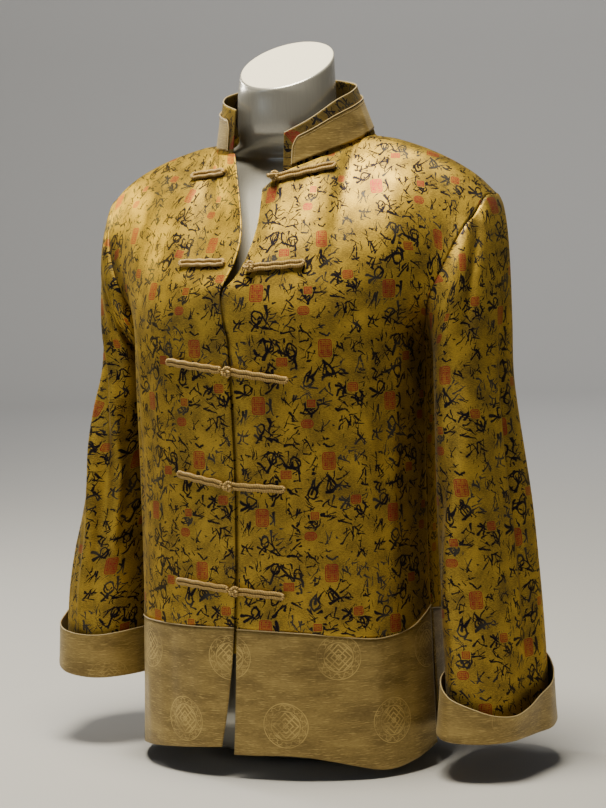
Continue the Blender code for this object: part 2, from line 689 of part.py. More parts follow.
def new_object(name, vertices, faces, material, smooth=True):
    """Links a mesh object of the given points and faces to the part's collection."""
    mesh = bpy.data.meshes.new(name)
    mesh.from_pydata([(x, y, z + STAND) for x, y, z in vertices], [], faces)
    mesh.update()
    made = bpy.data.objects.new(name, mesh)
    PART.objects.link(made)
    mesh.materials.append(material)
    if smooth:
        mesh.polygons.foreach_set("use_smooth", [True] * len(mesh.polygons))
    return made


def grid_faces(rows, columns, closed=False, flip=False):
    """Quads of a grid of points numbered row by row."""
    faces = []
    for i in range(rows - 1):
        for j in range(columns if closed else columns - 1):
            k = (j + 1) % columns
            quad = (i * columns + j, i * columns + k, (i + 1) * columns + k, (i + 1) * columns + j)
            faces.append(quad[::-1] if flip else quad)
    return faces


def shell(name, grid, wall, material, closed=False, flip=False):
    """Cloth piece: an outer face given as a grid, thickened inwards."""
    rows, columns = grid.shape[:2]
    made = new_object(name, grid.reshape(-1, 3), grid_faces(rows, columns, closed, flip), material)
    solidify = made.modifiers.new("wall", "SOLIDIFY")
    solidify.thickness = wall
    solidify.offset = -1.0
    solidify.use_rim = True
    return made


def solid_of_rings(name, rings, material):
    """Closed body lofted through rings and closed by a fan at each end."""
    rings = np.array(rings)
    rows, columns = rings.shape[:2]
    vertices = rings.reshape(-1, 3).tolist()
    faces = grid_faces(rows, columns, closed=True)
    first, last = len(vertices), len(vertices) + 1
    vertices.append(rings[0].mean(axis=0).tolist())
    vertices.append(rings[-1].mean(axis=0).tolist())
    for j in range(columns):
        k = (j + 1) % columns
        faces.append((first, k, j))
        faces.append((last, (rows - 1) * columns + j, (rows - 1) * columns + k))
    return new_object(name, vertices, faces, material)


def material(name, colour, roughness, metallic=0.0):
    """A plain surface of one colour."""
    made = bpy.data.materials.new(name)
    made.use_nodes = True
    surface = made.node_tree.nodes["Principled BSDF"]
    surface.inputs["Base Color"].default_value = (*colour, 1.0)
    surface.inputs["Roughness"].default_value = roughness
    surface.inputs["Metallic"].default_value = metallic
    return made


def build_form():
    """Limbless torso with a forward-slanted neck top and a flat base."""
    angles = np.linspace(0.0, 2.0 * math.pi, FORM_COLUMNS, endpoint=False)
    rings = []
    for height, centre_y, half_width, front, back in FORM_SECTIONS:
        x, y = plan_point(half_width, front, back, angles, FORM_SQUARENESS)
        rings.append(np.stack([x, y + centre_y, np.full_like(x, height)], axis=1))
    cx, cy, cz = NECK_TOP_CENTRE
    for inset, lift in ((0.0, -NECK_ROUNDING), (0.3 * NECK_ROUNDING, -0.3 * NECK_ROUNDING),
                        (NECK_ROUNDING, 0.0)):
        x = (NECK_TOP_HALF_WIDTH - inset) * np.sin(angles)
        y = -(NECK_TOP_HALF_DEPTH - inset) * np.cos(angles)
        z = cz + lift + NECK_TOP_SLOPE * y
        rings.append(np.stack([x + cx, y + cy, z], axis=1))
    solid_of_rings("dress_form", rings, material("form_satin", *SKIN))


def build_panels(brocade_left, brocade_right, brocade_back):
    """Fronts and back of the brocade."""
    shell("front_left", front_grid(1.0), WALL, brocade_left)
    shell("front_right", front_grid(-1.0), WALL, brocade_right, flip=True)
    shell("back", back_grid(), WALL, brocade_back)


def build_bands():
    """Plain bands below the brocade."""
    shell("hem_band_front_left", front_lower(1.0, band_rows(LEFT_LEVELS, FRONT_COLUMNS)), WALL,
          material("band_satin_left", *SATIN))
    shell("hem_band_front_right", front_lower(-1.0, band_rows(RIGHT_LEVELS, FRONT_COLUMNS)), WALL,
          material("band_satin_right", *SATIN), flip=True)
    shell("hem_band_back", back_lower(band_rows(BACK_LEVELS, BACK_COLUMNS)), WALL,
          material("band_satin_back", *SATIN))


def build_sleeves():
    """Sleeves and their turned-back cuffs."""
    for side, name in ((1.0, "left"), (-1.0, "right")):
        shell(f"sleeve_{name}", sleeve_grid(side), WALL,
              material(f"sleeve_brocade_{name}", *BROCADE), closed=True, flip=side > 0)
        shell(f"cuff_{name}", cuff_grid(side), THIN_WALL,
              material(f"cuff_satin_{name}", *SATIN), closed=True, flip=side > 0)


def build_collar():
    """Standing collar and the plain overlay on its outer face."""
    shares = np.linspace(0.0, 1.0, COLLAR_COLUMNS + 1)
    ups = np.linspace(0.0, 1.0, COLLAR_ROWS + 1)
    shell("collar", collar_point_rows(shares, ups), WALL, material("collar_brocade", *BROCADE))
    grid = collar_point_rows(shares[1:-1], np.linspace(*OVERLAY_SPAN, COLLAR_ROWS), THIN_WALL + GAP)
    shell("collar_overlay", grid, THIN_WALL, material("overlay_satin", *SATIN))


def placket_grid():
    """Outer face of the strip behind the front opening."""
    across = np.linspace(-1.0, 1.0, PLACKET_COLUMNS + 1) * PLACKET_HALF_WIDTH
    lower = np.linspace(PLACKET_BOTTOM_Z, ARMPIT_Z, PLACKET_ROWS - 3)
    rows = []
    for height in lower:
        half_width, front, back = table_at(BODY_SECTIONS, height)[0]
        place = across + table_at(FRONT_EDGES, height)[0].mean()
        angle = np.arcsin((np.abs(place) / half_width) ** (SQUARENESS / 2.0)) * np.sign(place)
        x, y = plan_point(half_width, front, back, angle)
        rows.append(np.stack([x, y, np.full_like(x, height)], axis=1))
    for share in (PLACKET_TOP_SHARE / 3.0, PLACKET_TOP_SHARE / 1.5, PLACKET_TOP_SHARE):
        edge = 0.5 * (table_at(LEFT_V_EDGE, share)[0] + table_at(RIGHT_V_EDGE, share)[0])
        y = edge[1] + PLACKET_BOW * across**2 / PLACKET_HALF_WIDTH
        rows.append(np.stack([across + edge[0], y, np.full_like(y, edge[2])], axis=1))
    grid = np.array(rows)
    normals = grid_normals(grid, flip=False)
    return grid - normals * (WALL + PLACKET_BEHIND)


def surface_point(grid, x, z):
    """Point and outward normal of a front's outer face above a place in the x, z plane."""
    rows, columns = grid.shape[:2]
    best = None
    for i in range(rows - 1):
        for j in range(columns - 1):
            a, b, c, d = grid[i, j], grid[i, j + 1], grid[i + 1, j + 1], grid[i + 1, j]
            for p, q, r in ((a, b, c), (a, c, d)):
                m = np.array([[q[0] - p[0], r[0] - p[0]], [q[2] - p[2], r[2] - p[2]]])
                det = np.linalg.det(m)
                if abs(det) < 1e-12:
                    continue
                u, v = np.linalg.solve(m, np.array([x - p[0], z - p[2]]))
                outside = max(-u, -v, u + v - 1.0, 0.0)
                if best is None or outside < best[0]:
                    normal = np.cross(q - p, r - p)
                    normal *= -np.sign(normal[1]) / np.linalg.norm(normal)
                    best = (outside, p + (q - p) * u + (r - p) * v, normal)
    return best[1], best[2]


def strap_rings(grid, start, end, profile, clear):
    """Rings of a strap lying on a front; profile rows are share, half width, half thickness, lift."""
    start, end = np.array(start), np.array(end)
    rings = []
    direction = np.array([end[0] - start[0], 0.0, end[1] - start[1]])
    direction /= np.linalg.norm(direction)
    for share, half_width, half_thick, lift in profile:
        x, z = start + (end - start) * share
        point, normal = surface_point(grid, x, z)
        along = direction - normal * np.dot(direction, normal)
        along /= np.linalg.norm(along)
        across = np.cross(normal, along)
        centre = point + normal * (half_thick + GAP + clear + lift)
        angles = np.linspace(0.0, 2.0 * math.pi, STRAP_SIDES, endpoint=False)
        rings.append([centre + across * half_width * math.cos(a) + normal * half_thick * math.sin(a)
                      for a in angles])
    return rings


def strap_profile(length, with_ball):
    """Widths along a strap: rounded end, double cord, and a neck that swells to the ball."""
    body_end = 1.0 - (BALL_NECK * BALL_RADIUS / length if with_ball else 0.0)
    tip = (STRAP_TIP_WIDTH * STRAP_HALF_WIDTH, STRAP_TIP_THICKNESS * CORD_RADIUS,
           STRAP_TIP_LIFT * CORD_RADIUS)
    profile = [(0.0, *tip)]
    for share in np.linspace(STRAP_FIRST_SHARE, body_end, STRAP_STEPS):
        profile.append((share, STRAP_HALF_WIDTH, CORD_RADIUS, 0.0))
    if not with_ball:
        profile[-1] = (1.0, *tip)
        return profile
    ball = BALL_RADIUS / length
    for step in range(1, BALL_STEPS + 1):
        turn = math.pi * (BALL_FIRST_TURN + BALL_TURNS * step / BALL_STEPS)
        radius = BALL_RADIUS * math.sin(turn)
        share = 1.0 - ball * math.cos(turn)
        profile.append((share, radius, radius, BALL_RADIUS - radius))
    return profile


def build_frogs(grid_left, grid_right):
    """Five frogs: a loop strap on the wearer's right and a strap with its ball on the left."""
    for number, row in enumerate(FROGS, start=1):
        loop_end, loop_tip, ball, button_end, clear = row[:2], row[2:4], row[4:6], row[6:8], row[8]
        length = np.linalg.norm(loop_tip - loop_end)
        solid_of_rings(f"frog_{number}_loop",
                       strap_rings(grid_right, loop_end, loop_tip, strap_profile(length, False), clear),
                       material(f"cord_loop_{number}", *CORD))
        length = np.linalg.norm(ball - button_end)
        solid_of_rings(f"frog_{number}_button",
                       strap_rings(grid_left, button_end, ball, strap_profile(length, True), clear),
                       material(f"cord_button_{number}", *CORD))


def clear_scene():
    """Removes what a new scene holds."""
    for item in list(bpy.data.objects):
        bpy.data.objects.remove(item, do_unlink=True)


clear_scene()
bpy.context.scene.collection.children.link(PART)

build_form()
build_panels(material("front_brocade_left", *BROCADE), material("front_brocade_right", *BROCADE),
             material("back_brocade", *BROCADE))
build_bands()
build_sleeves()
build_collar()
shell("under_placket", placket_grid(), THIN_WALL, material("placket_brocade", *SHADED_BROCADE))
build_frogs(front_grid(1.0), front_grid(-1.0))
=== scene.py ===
"""Looks of a mandarin collar jacket in gold brocade with plain satin trims, on a limbless dress form.

Metres, +Z up, the front faces -Y and the wearer's left side is +X. Cloth pieces are thin shells on the
solids' own forms, with their creases given one by one, and carry a UV map in metres of cloth.
"""
import logging
import math
from dataclasses import dataclass, field
from enum import Enum
from functools import partialmethod
from typing import Iterable, Optional, Sequence

import bpy
import numpy as np
from mathutils import Matrix, Vector
from mathutils.bvhtree import BVHTree


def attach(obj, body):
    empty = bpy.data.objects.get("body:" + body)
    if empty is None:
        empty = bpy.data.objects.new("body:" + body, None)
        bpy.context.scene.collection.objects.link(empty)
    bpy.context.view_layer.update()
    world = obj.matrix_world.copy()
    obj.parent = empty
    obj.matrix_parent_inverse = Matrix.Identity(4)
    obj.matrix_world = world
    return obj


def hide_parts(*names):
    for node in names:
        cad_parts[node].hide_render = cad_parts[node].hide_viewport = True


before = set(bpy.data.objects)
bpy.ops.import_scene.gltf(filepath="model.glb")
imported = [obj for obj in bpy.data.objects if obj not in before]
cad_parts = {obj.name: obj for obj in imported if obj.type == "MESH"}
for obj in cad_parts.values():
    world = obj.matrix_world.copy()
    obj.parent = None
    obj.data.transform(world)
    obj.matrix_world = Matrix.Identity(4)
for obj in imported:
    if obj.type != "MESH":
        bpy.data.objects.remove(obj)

LOG = logging.getLogger("jacket")
MM = 0.001
STAND = 16.0 * MM  # the tables count heights from a datum this far above the form's flat base
HALF = (0.5, 0.5, 0.5)
FAR_TILES = 40  # repeats that a pattern is moved by, so that MODULO never meets a negative place
BODY = "root"
Colour = tuple[float, float, float]
Pair = tuple[float, float]
Array = np.ndarray
Socket = bpy.types.NodeSocket
Material = bpy.types.Material


def sizes(*rows: Sequence[float], keys: float = 1.0) -> Array:
    """A table in metres.

    Args:
        rows: in each a key and then sizes in millimetres.
        keys: the key's unit, 1 where it is a share.

    Returns:
        Array of rows by columns.
    """
    return np.array(rows, float) * ([keys] + [MM] * (len(rows[0]) - 1))


def table(*rows: Sequence[float], keys: float = 1.0) -> Array:
    """A dataclass field that holds a table as sizes makes it."""
    return field(default_factory=lambda: sizes(*rows, keys=keys))


# ---- curves and grids


def through(keys: Array, values: Array, where: Array) -> Array:
    """Smooth values along a table: a cubic through its rows with averaged slopes.

    Args:
        keys: places of the rows, rising.
        values: values at the rows, one or more columns or whole point rows.
        where: places to read.

    Returns:
        One entry of values for each place.
    """
    keys, values = np.asarray(keys, float), np.asarray(values, float)
    shape = values.shape[1:]
    values = values.reshape(len(keys), -1)
    where = np.clip(np.atleast_1d(np.asarray(where, float)), keys[0], keys[-1])
    chords = np.diff(values, axis=0) / np.diff(keys)[:, None]
    slopes = np.vstack([chords[:1], 0.5 * (chords[:-1] + chords[1:]), chords[-1:]])
    index = np.clip(np.searchsorted(keys, where, side="right") - 1, 0, len(keys) - 2)
    step = (keys[index + 1] - keys[index])[:, None]
    t = (where - keys[index])[:, None] / step
    made = ((2 * t**3 - 3 * t**2 + 1) * values[index] + (t**3 - 2 * t**2 + t) * step * slopes[index]
            + (3 * t**2 - 2 * t**3) * values[index + 1] + (t**3 - t**2) * step * slopes[index + 1])
    return made.reshape((len(where),) + shape)


def table_at(rows: Array, where: Array) -> Array:
    """The value columns of a table at places along its first column."""
    rows = rows if rows[0, 0] < rows[-1, 0] else rows[::-1]
    return through(rows[:, 0], rows[:, 1:], where)


def ramp(value: Array, low: float, high: float) -> Array:
    """0 below low, 1 above high, and a smooth step between."""
    t = np.clip((np.asarray(value, float) - low) / (high - low), 0.0, 1.0)
    return t * t * (3.0 - 2.0 * t)


def hermite(start: Array, end: Array, leave: Array, arrive: Array,
            share: Array) -> Array:
    """Rows of points on cubics from start to end with the given end directions."""
    t = np.asarray(share, float)[:, None, None]
    return ((2 * t**3 - 3 * t**2 + 1) * start + (t**3 - 2 * t**2 + t) * leave
            + (3 * t**2 - 2 * t**3) * end + (t**3 - t**2) * arrive)


def plan_point(half_width: Array, front: Array, back: Array, angle: Array,
               squareness: float) -> tuple[Array, Array]:
    """Point of a rounded plan section, the angle counted from the front towards +X."""
    power = 2.0 / squareness
    s, c = np.sin(angle), np.cos(angle)
    return (half_width * np.sign(s) * np.abs(s) ** power,
            -np.where(c > 0.0, front, back) * np.sign(c) * np.abs(c) ** power)


def refined(grid: Array, row_steps: Sequence[int], column_step: int, closed: bool = False) -> Array:
    """A finer grid that passes through every point of a coarse one.

    Args:
        grid: coarse points, rows by columns.
        row_steps: how many parts each gap between rows gets.
        column_step: how many parts each gap between columns gets.
        closed: the columns run round; the finer grid then repeats the first column at its end.

    Returns:
        The finer grid.
    """
    places = np.concatenate([[0.0]] + [np.arange(1, n + 1) / n + i for i, n in enumerate(row_steps)])
    grid = through(np.arange(len(grid)), grid, places)
    pad = 3 if closed else 0
    if closed:
        grid = np.concatenate([grid[:, -pad:], grid, grid[:, :pad + 1]], axis=1)
    columns = grid.shape[1]
    across = np.arange(pad * column_step, (columns - 1 - pad) * column_step + 1) / column_step
    return np.swapaxes(through(np.arange(columns), np.swapaxes(grid, 0, 1), across), 0, 1)


def grid_normals(grid: Array, flip: bool, closed: bool = False) -> Array:
    """Unit normals of a grid's points, which is repeated at its end where it is closed."""
    across = np.gradient(grid, axis=1)
    if closed:
        across[:, 0] = across[:, -1] = 0.5 * (grid[:, 1] - grid[:, -2])
    normal = np.cross(across, np.gradient(grid, axis=0))
    normal /= np.linalg.norm(normal, axis=2)[:, :, None] + 1e-12
    return -normal if flip else normal


def cloth_uv(grid: Array, anchor: int, sign: float, start: Optional[Array] = None) -> Array:
    """Cloth coordinates of a grid in metres: length round from an anchor column, and length up.

    Args:
        grid: points, rows by columns.
        anchor: column that the round coordinate is counted from.
        sign: 1 or -1, which way the round coordinate rises.
        start: round coordinate at the anchor, one per row; zero where left out.

    Returns:
        Array of rows by columns by two.
    """
    steps = np.linalg.norm(np.diff(grid, axis=1), axis=2)
    along = np.concatenate([np.zeros((len(grid), 1)), np.cumsum(steps, axis=1)], axis=1)
    u = sign * (along - along[:, anchor:anchor + 1]) + (0.0 if start is None else start[:, None])
    rises = np.linalg.norm(np.diff(grid, axis=0), axis=2) * np.sign(grid[-1, :, 2] - grid[0, :, 2])
    v = grid[0, :, 2] + np.concatenate([np.zeros((1, grid.shape[1])), np.cumsum(rises, axis=0)])
    return np.stack([u, v], axis=2)


# ---- cloth


@dataclass(frozen=True)
class Crease:
    """A soft ridge, or a trough where its depth is negative, along a line on the cloth."""

    line: tuple[Pair, ...]
    depth: float
    width: float
    end_share: float = 0.08

    def lift(self, uv: Array) -> Array:
        """How far the crease lifts each place of the cloth off its plain form.

        Args:
            uv: cloth coordinates, rows by columns by two.

        Returns:
            One height per place.
        """
        total = np.zeros(uv.shape[:2])
        line = np.array(self.line)
        lengths = np.linalg.norm(np.diff(line, axis=0), axis=1)
        whole, done = lengths.sum(), 0.0
        nearest = np.full(uv.shape[:2], 1e9)
        for start, end, length in zip(line[:-1], line[1:], lengths):
            way = (end - start) / length
            along = np.clip((uv - start) @ way, 0.0, length)
            apart = np.linalg.norm(uv - start - along[..., None] * way, axis=2)
            share = (done + along) / whole
            here = np.exp(-((apart / self.width) ** 2)) * np.sin(
                math.pi * (self.end_share + (1.0 - 2.0 * self.end_share) * share))
            total = np.where(apart < nearest, here, total)
            nearest = np.minimum(nearest, apart)
            done += length
        return self.depth * total


def creases(*rows: Sequence[float]) -> tuple[Crease, ...]:
    """Creases from rows in millimetres: depth, width, then places along the line on the cloth."""
    metric = [np.array(row, float) * MM for row in rows]
    return tuple(Crease(tuple(zip(row[2::2], row[3::2])), row[0], row[1]) for row in metric)


@dataclass
class ClothPiece:
    """One cut piece: a grid of points with its cloth coordinates, thickened into a thin shell."""

    name: str
    node: str
    grid: Array
    uv: Array
    closed: bool = False
    flip: bool = False
    wall: float = 1.2 * MM
    creases: tuple[Crease, ...] = ()

    def __post_init__(self) -> None:
        """Moves the plain form by the piece's creases."""
        if self.creases:
            lift = sum(crease.lift(self.uv) for crease in self.creases)
            self.grid = self.grid + grid_normals(self.grid, self.flip, self.closed) * lift[..., None]

    def make(self, finish: Material) -> bpy.types.Object:
        """Builds the shell with its UV map.

        Args:
            finish: the cloth's material.

        Returns:
            The piece's object.
        """
        rows, columns = self.grid.shape[:2]
        ring = columns - 1 if self.closed else columns
        points = self.grid[:, :ring].reshape(-1, 3) + (0.0, 0.0, STAND)
        faces, corners = [], []
        for i in range(rows - 1):
            for j in range(columns - 1):
                quad = ((i, j), (i, j + 1), (i + 1, j + 1), (i + 1, j))
                quad = quad[::-1] if self.flip else quad
                faces.append([r * ring + c % ring for r, c in quad])
                corners.extend(quad)
        made = new_object(self.name, points, faces, finish)
        layer = made.data.uv_layers.new(name="cloth")
        r, c = np.array(corners).T
        layer.data.foreach_set("uv", self.uv[r, c].ravel())
        wall = made.modifiers.new("wall", "SOLIDIFY")
        wall.thickness, wall.offset, wall.use_rim = self.wall, -1.0, True
        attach(made, BODY)
        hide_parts(self.node)
        return made

    def area(self) -> float:
        """Area of the piece's outer face in square metres."""
        across, up = np.diff(self.grid[:-1], axis=1), np.diff(self.grid[:, :-1], axis=0)
        return float(np.linalg.norm(np.cross(across, up), axis=2).sum())


def new_object(name: str, points: Array, faces: Sequence[Sequence[int]],
               finish: Material) -> bpy.types.Object:
    """A smooth-shaded mesh object at the origin."""
    mesh = bpy.data.meshes.new(name)
    mesh.from_pydata([tuple(p) for p in points], [], [tuple(f) for f in faces])
    mesh.update()
    mesh.polygons.foreach_set("use_smooth", [True] * len(mesh.polygons))
    mesh.materials.append(finish)
    made = bpy.data.objects.new(name, mesh)
    bpy.context.scene.collection.objects.link(made)
    return made


class Side(Enum):
    """Side of the wearer, with the sign of its X."""

    LEFT = 1.0
    RIGHT = -1.0

    @property
    def word(self) -> str:
        """The side in lower case, as in the pieces' names."""
        return self.name.lower()


# ---- the cut


@dataclass
class BodyCut:
    """Fronts, back and their plain bands, drafted from plan sections, edges and end directions."""

    squareness: float = 2.3
    side_seam: float = math.radians(86.0)
    vent_top: float = 252.0 * MM
    armpit: float = 465.0 * MM
    vent_angle: float = math.radians(1.6)
    vent_flare: float = 1.5 * MM
    left_scale: float = 0.975
    seam_gap: float = 0.25 * MM
    shoulder_columns: int = 7
    neck_columns: int = 12
    lower_rows: int = 7
    upper_rows: int = 12
    band_rows: int = 4
    # height, half width, front depth, back depth
    sections: Array = table(
        (-30, 180, 150, 132), (50, 177, 153, 132), (150, 174, 157, 130), (250, 171, 157, 124),
        (330, 171, 157, 120), (400, 172, 159, 119), (465, 173, 161, 120), (520, 173, 162, 121), keys=MM)
    # height, x of the left and of the right centre front edge
    front_edges: Array = table(
        (-30, -15, -34), (10, -14, -30), (60, -10, -20), (120, -6, -10.5), (200, -.5, -4.5), (330, 2, -2),
        (465, -.5, -4), keys=MM)
    # share of the width, band seam, hem
    left_levels: Array = table(
        (0, 152.5, 11), (.25, 150, 12), (.42, 145, 4), (.65, 140, -7), (.85, 147, 0), (1, 164, 10))
    right_levels: Array = table(
        (0, 154, 19), (.3, 152, 12), (.6, 150, 5), (1, 142, -9))
    back_levels: Array = table(
        (0, 160, 12), (.12, 148, 3), (.3, 144, 0), (.5, 146, 4), (.7, 144, -1), (.88, 142, -4),
        (1, 142, -9))
    # share of the way up from the armpit, x, y, z
    left_edge: Array = table(
        (0, -.5, -161, 465), (.2, -6, -162.5, 497), (.34, -8, -158, 522), (.44, 4, -150, 537),
        (.58, 12.5, -137, 560), (.74, 15.7, -119, 588), (.9, 14.3, -104, 614), (1, 12.5, -95, 629))
    right_edge: Array = table(
        (0, -4, -161, 465), (.2, -9.5, -162.5, 497), (.34, -11.5, -158, 522), (.46, -5, -146, 541),
        (.6, -1, -130, 567), (.74, -6, -112, 592), (.88, -21, -85, 628), (1, -39, -55, 668))
    left_top: Array = table(
        (0, 12.5, -95, 629), (.1, 34, -86, 647), (.2, 52, -72, 656), (.32, 74, -40, 667), (.43, 87, 8, 678),
        (.5, 91, 25, 684), (.75, 160, 32, 667), (.9, 210, 37, 640), (1, 234, 40, 616))
    right_top: Array = table(
        (0, -39, -55, 668), (.12, -56, -44, 668), (.26, -74, -24, 669), (.41, -87, 4, 673),
        (.5, -91, 22, 678), (.75, -155, 26, 661), (.9, -202, 24, 638), (1, -223, 22, 618))
    back_neck: Array = table(
        (0, 91, 25, 684), (.12, 84, 55, 690), (.3, 54, 84, 699), (.5, 0, 97, 703), (.7, -54, 84, 698),
        (.88, -84, 54, 687), (1, -91, 22, 678))
    armhole_front: Array = table(
        (0, 176, -16, 465), (.25, 189, -46, 505), (.5, 205, -42, 545), (.75, 220, -18, 586),
        (.9, 230, 14, 608), (1, 234, 40, 616))
    armhole_back: Array = table(
        (0, 176, -16, 465), (.25, 180, 34, 505), (.5, 192, 66, 545), (.75, 212, 70, 586),
        (.9, 228, 56, 608), (1, 234, 40, 616))
    # directions in which the cloth leaves the armpit row and arrives at the top edge
    chest_leave: Colour = (0.0, -0.020, 0.150)
    arm_leave: Colour = (0.0, 0.0, 0.260)
    back_leave: Colour = (0.0, 0.0, 0.250)
    front_arrive: tuple[Colour, ...] = ((0.0, 0.070, 0.120), (0.0, 0.220, 0.015), (0.0, 0.060, 0.010))
    back_arrive: tuple[Colour, ...] = ((0.0, -0.040, 0.120), (0.0, -0.250, 0.015), (0.0, -0.100, 0.010))
    # shares of the width between which those directions change, and where the shoulder row settles
    front_shoulder: Pair = (0.15, 0.55)
    front_arm: Pair = (0.70, 1.0)
    chest_to_arm: Pair = (0.1, 0.6)
    front_settle: Pair = (0.45, 0.57)
    back_shoulder: Pair = (0.15, 0.50)
    back_arm: Pair = (0.50, 1.0)
    back_settle: Pair = (0.41, 0.54)
    flatten: float = 0.6
    evening: int = 6
    # parts that each coarse gap gets: a band's rows, the rows below and above the armpit, the columns
    fineness: tuple[int, ...] = (8, 12, 6, 7)

    def body_row(self, angles: Array, heights: Array) -> Array:
        """One point per angle on the body's outer face, each at its own height."""
        half_width, front, back = table_at(self.sections, heights).T
        x, y = plan_point(half_width, front, back, angles, self.squareness)
        return np.stack([x, y, np.broadcast_to(heights, x.shape)], axis=1)

    def open_vent(self, heights: Array) -> Array:
        """How far the side vent is open, 0 at its top and 1 at the hem."""
        return 1.0 - ramp(heights, 0.0, self.vent_top)

    def front_rows(self, side: Side, height_rows: Iterable[Array]) -> Array:
        """Coarse points of a front below the armpit, centre edge first."""
        share = np.linspace(0.0, 1.0, 2 * self.shoulder_columns + 1)
        made = []
        for heights in height_rows:
            vent = self.open_vent(heights)
            row = self.body_row(share * (self.side_seam - vent * self.vent_angle), heights)
            row[:, 0] += vent * self.vent_flare * share**6
            row[:, 0] *= side.value * (self.left_scale if side is Side.LEFT else 1.0)
            edge = table_at(self.front_edges, heights)[:, 0 if side is Side.LEFT else 1]
            row[:, 0] += edge * (1.0 - share) ** 2
            made.append(row)
        made = np.array(made)
        made[:, -1, 1] -= self.seam_gap
        return made

    def back_rows(self, height_rows: Iterable[Array]) -> Array:
        """Coarse points of the back below the armpit, from the wearer's left side to the right."""
        share = np.linspace(0.0, 1.0, 2 * self.shoulder_columns + self.neck_columns + 1)
        made = []
        for heights in height_rows:
            start = self.side_seam + self.open_vent(heights) * self.vent_angle
            made.append(self.body_row(start + share * (2 * math.pi - 2 * start), heights))
        made = np.array(made)
        made[:, :, 0] *= np.where(made[:, :, 0] > 0.0, self.left_scale, 1.0)
        made[:, [0, -1], 1] += self.seam_gap
        return made

    def heights(self, levels: Array, columns: int, band: bool) -> list[Array]:
        """Heights of the rows of a brocade panel below the armpit, or of its plain band."""
        seam, hem = table_at(levels, np.linspace(0.0, 1.0, columns + 1)).T
        low, high = (hem, seam - self.seam_gap) if band else (
            seam + self.seam_gap, np.full_like(seam, self.armpit))
        count = self.band_rows if band else self.lower_rows
        return [low + (high - low) * part for part in np.linspace(0.0, 1.0, count + 1)]

    def levels(self, side: Side) -> Array:
        """Seam and hem levels of a front."""
        return self.left_levels if side is Side.LEFT else self.right_levels

    def armhole(self, rows: Array, side: Side, low: Array, high: Array) -> Array:
        """Armhole edge of a panel, drawn onto its two end points."""
        up = np.linspace(0.0, 1.0, self.upper_rows + 1)[:, None]
        edge = table_at(rows, up[:, 0]) * (side.value, 1.0, 1.0)
        return edge + (low - edge[0]) * (1.0 - up) ** 2 + (high - edge[-1]) * up**2

    def arrival(self, kinds: tuple[Colour, ...], to_shoulder: Array, to_arm: Array) -> Array:
        """End directions along a panel's top edge, from the neck over the shoulder to the arm."""
        neck, shoulder, arm = (np.array(kind) for kind in kinds)
        a, b = to_shoulder[:, None], to_arm[:, None]
        return (neck * (1 - a) + shoulder * a) * (1 - b) + arm * b

    def front_top(self, side: Side) -> Array:
        """Coarse top edge of a front, from its centre edge to the shoulder tip."""
        share = np.linspace(0.0, 1.0, 2 * self.shoulder_columns + 1)
        return table_at(self.left_top if side is Side.LEFT else self.right_top, share)

    def settle(self, grid: Array, weight: Array) -> Array:
        """Levels the row below the shoulder seam into the seam's slope."""
        top = grid[-1]
        run = np.gradient(top[:, 0])
        slope = np.gradient(top[:, 2]) / np.where(np.abs(run) < MM, MM, run)
        level = top[:, 2] + slope * (grid[-2, :, 0] - top[:, 0])
        grid[-2, :, 2] += (level - grid[-2, :, 2]) * self.flatten * weight
        return grid

    def front(self, side: Side) -> Array:
        """Coarse points of a brocade front, from the band seam to the shoulder."""
        columns = 2 * self.shoulder_columns
        share, up = np.linspace(0.0, 1.0, columns + 1), np.linspace(0.0, 1.0, self.upper_rows + 1)
        lower = self.front_rows(side, self.heights(self.levels(side), columns, band=False))
        base, top = lower[-1], self.front_top(side)
        arrive = self.arrival(self.front_arrive, ramp(share, *self.front_shoulder),
                              ramp(share, *self.front_arm))
        outward = ramp(share, *self.chest_to_arm)[:, None]
        leave = np.array(self.chest_leave) * (1.0 - outward) + np.array(self.arm_leave) * outward
        grid = hermite(base, top, leave, arrive, up)
        edge = table_at(self.left_edge if side is Side.LEFT else self.right_edge, up)
        armhole = self.armhole(self.armhole_front, side, base[-1], top[-1])
        grid = grid + (edge - grid[:, 0])[:, None, :] * ((1.0 - share) ** 3)[None, :, None]
        grid = grid + (armhole - grid[:, -1])[:, None, :] * (share**4)[None, :, None]
        return self.settle(np.concatenate([lower, grid[1:]]), ramp(share, *self.front_settle))

    def back(self) -> Array:
        """Coarse points of the brocade back, from the band seam to the neckline and shoulders."""
        columns = 2 * self.shoulder_columns + self.neck_columns
        share, up = np.linspace(0.0, 1.0, columns + 1), np.linspace(0.0, 1.0, self.upper_rows + 1)
        out = np.abs(2.0 * share - 1.0)
        lower = self.back_rows(self.heights(self.back_levels, columns, band=False))
        left = self.front_top(Side.LEFT)[:self.shoulder_columns:-1]
        right = self.front_top(Side.RIGHT)[self.shoulder_columns + 1:]
        neck = table_at(self.back_neck, np.linspace(0.0, 1.0, self.neck_columns + 1))
        base, top = lower[-1], np.concatenate([left, neck, right])
        arrive = self.arrival(self.back_arrive, ramp(out, *self.back_shoulder), ramp(out, *self.back_arm))
        grid = hermite(base, top, np.tile(np.array(self.back_leave), (len(share), 1)), arrive, up)
        for side, column in ((Side.LEFT, 0), (Side.RIGHT, -1)):
            armhole = self.armhole(self.armhole_back, side, base[column], top[column])
            weight = np.clip(side.value * (1.0 - 2.0 * share), 0.0, 1.0)[None, :, None] ** 5
            grid = grid + (armhole - grid[:, column])[:, None, :] * weight
        fade = up[1:-1, None, None]
        for _ in range(self.evening):
            mean = 0.5 * (grid[1:-1, 2:] + grid[1:-1, :-2])
            grid[1:-1, 1:-1] += 0.5 * fade * (mean - grid[1:-1, 1:-1])
        return self.settle(np.concatenate([lower, grid[1:]]), ramp(out, *self.back_settle))

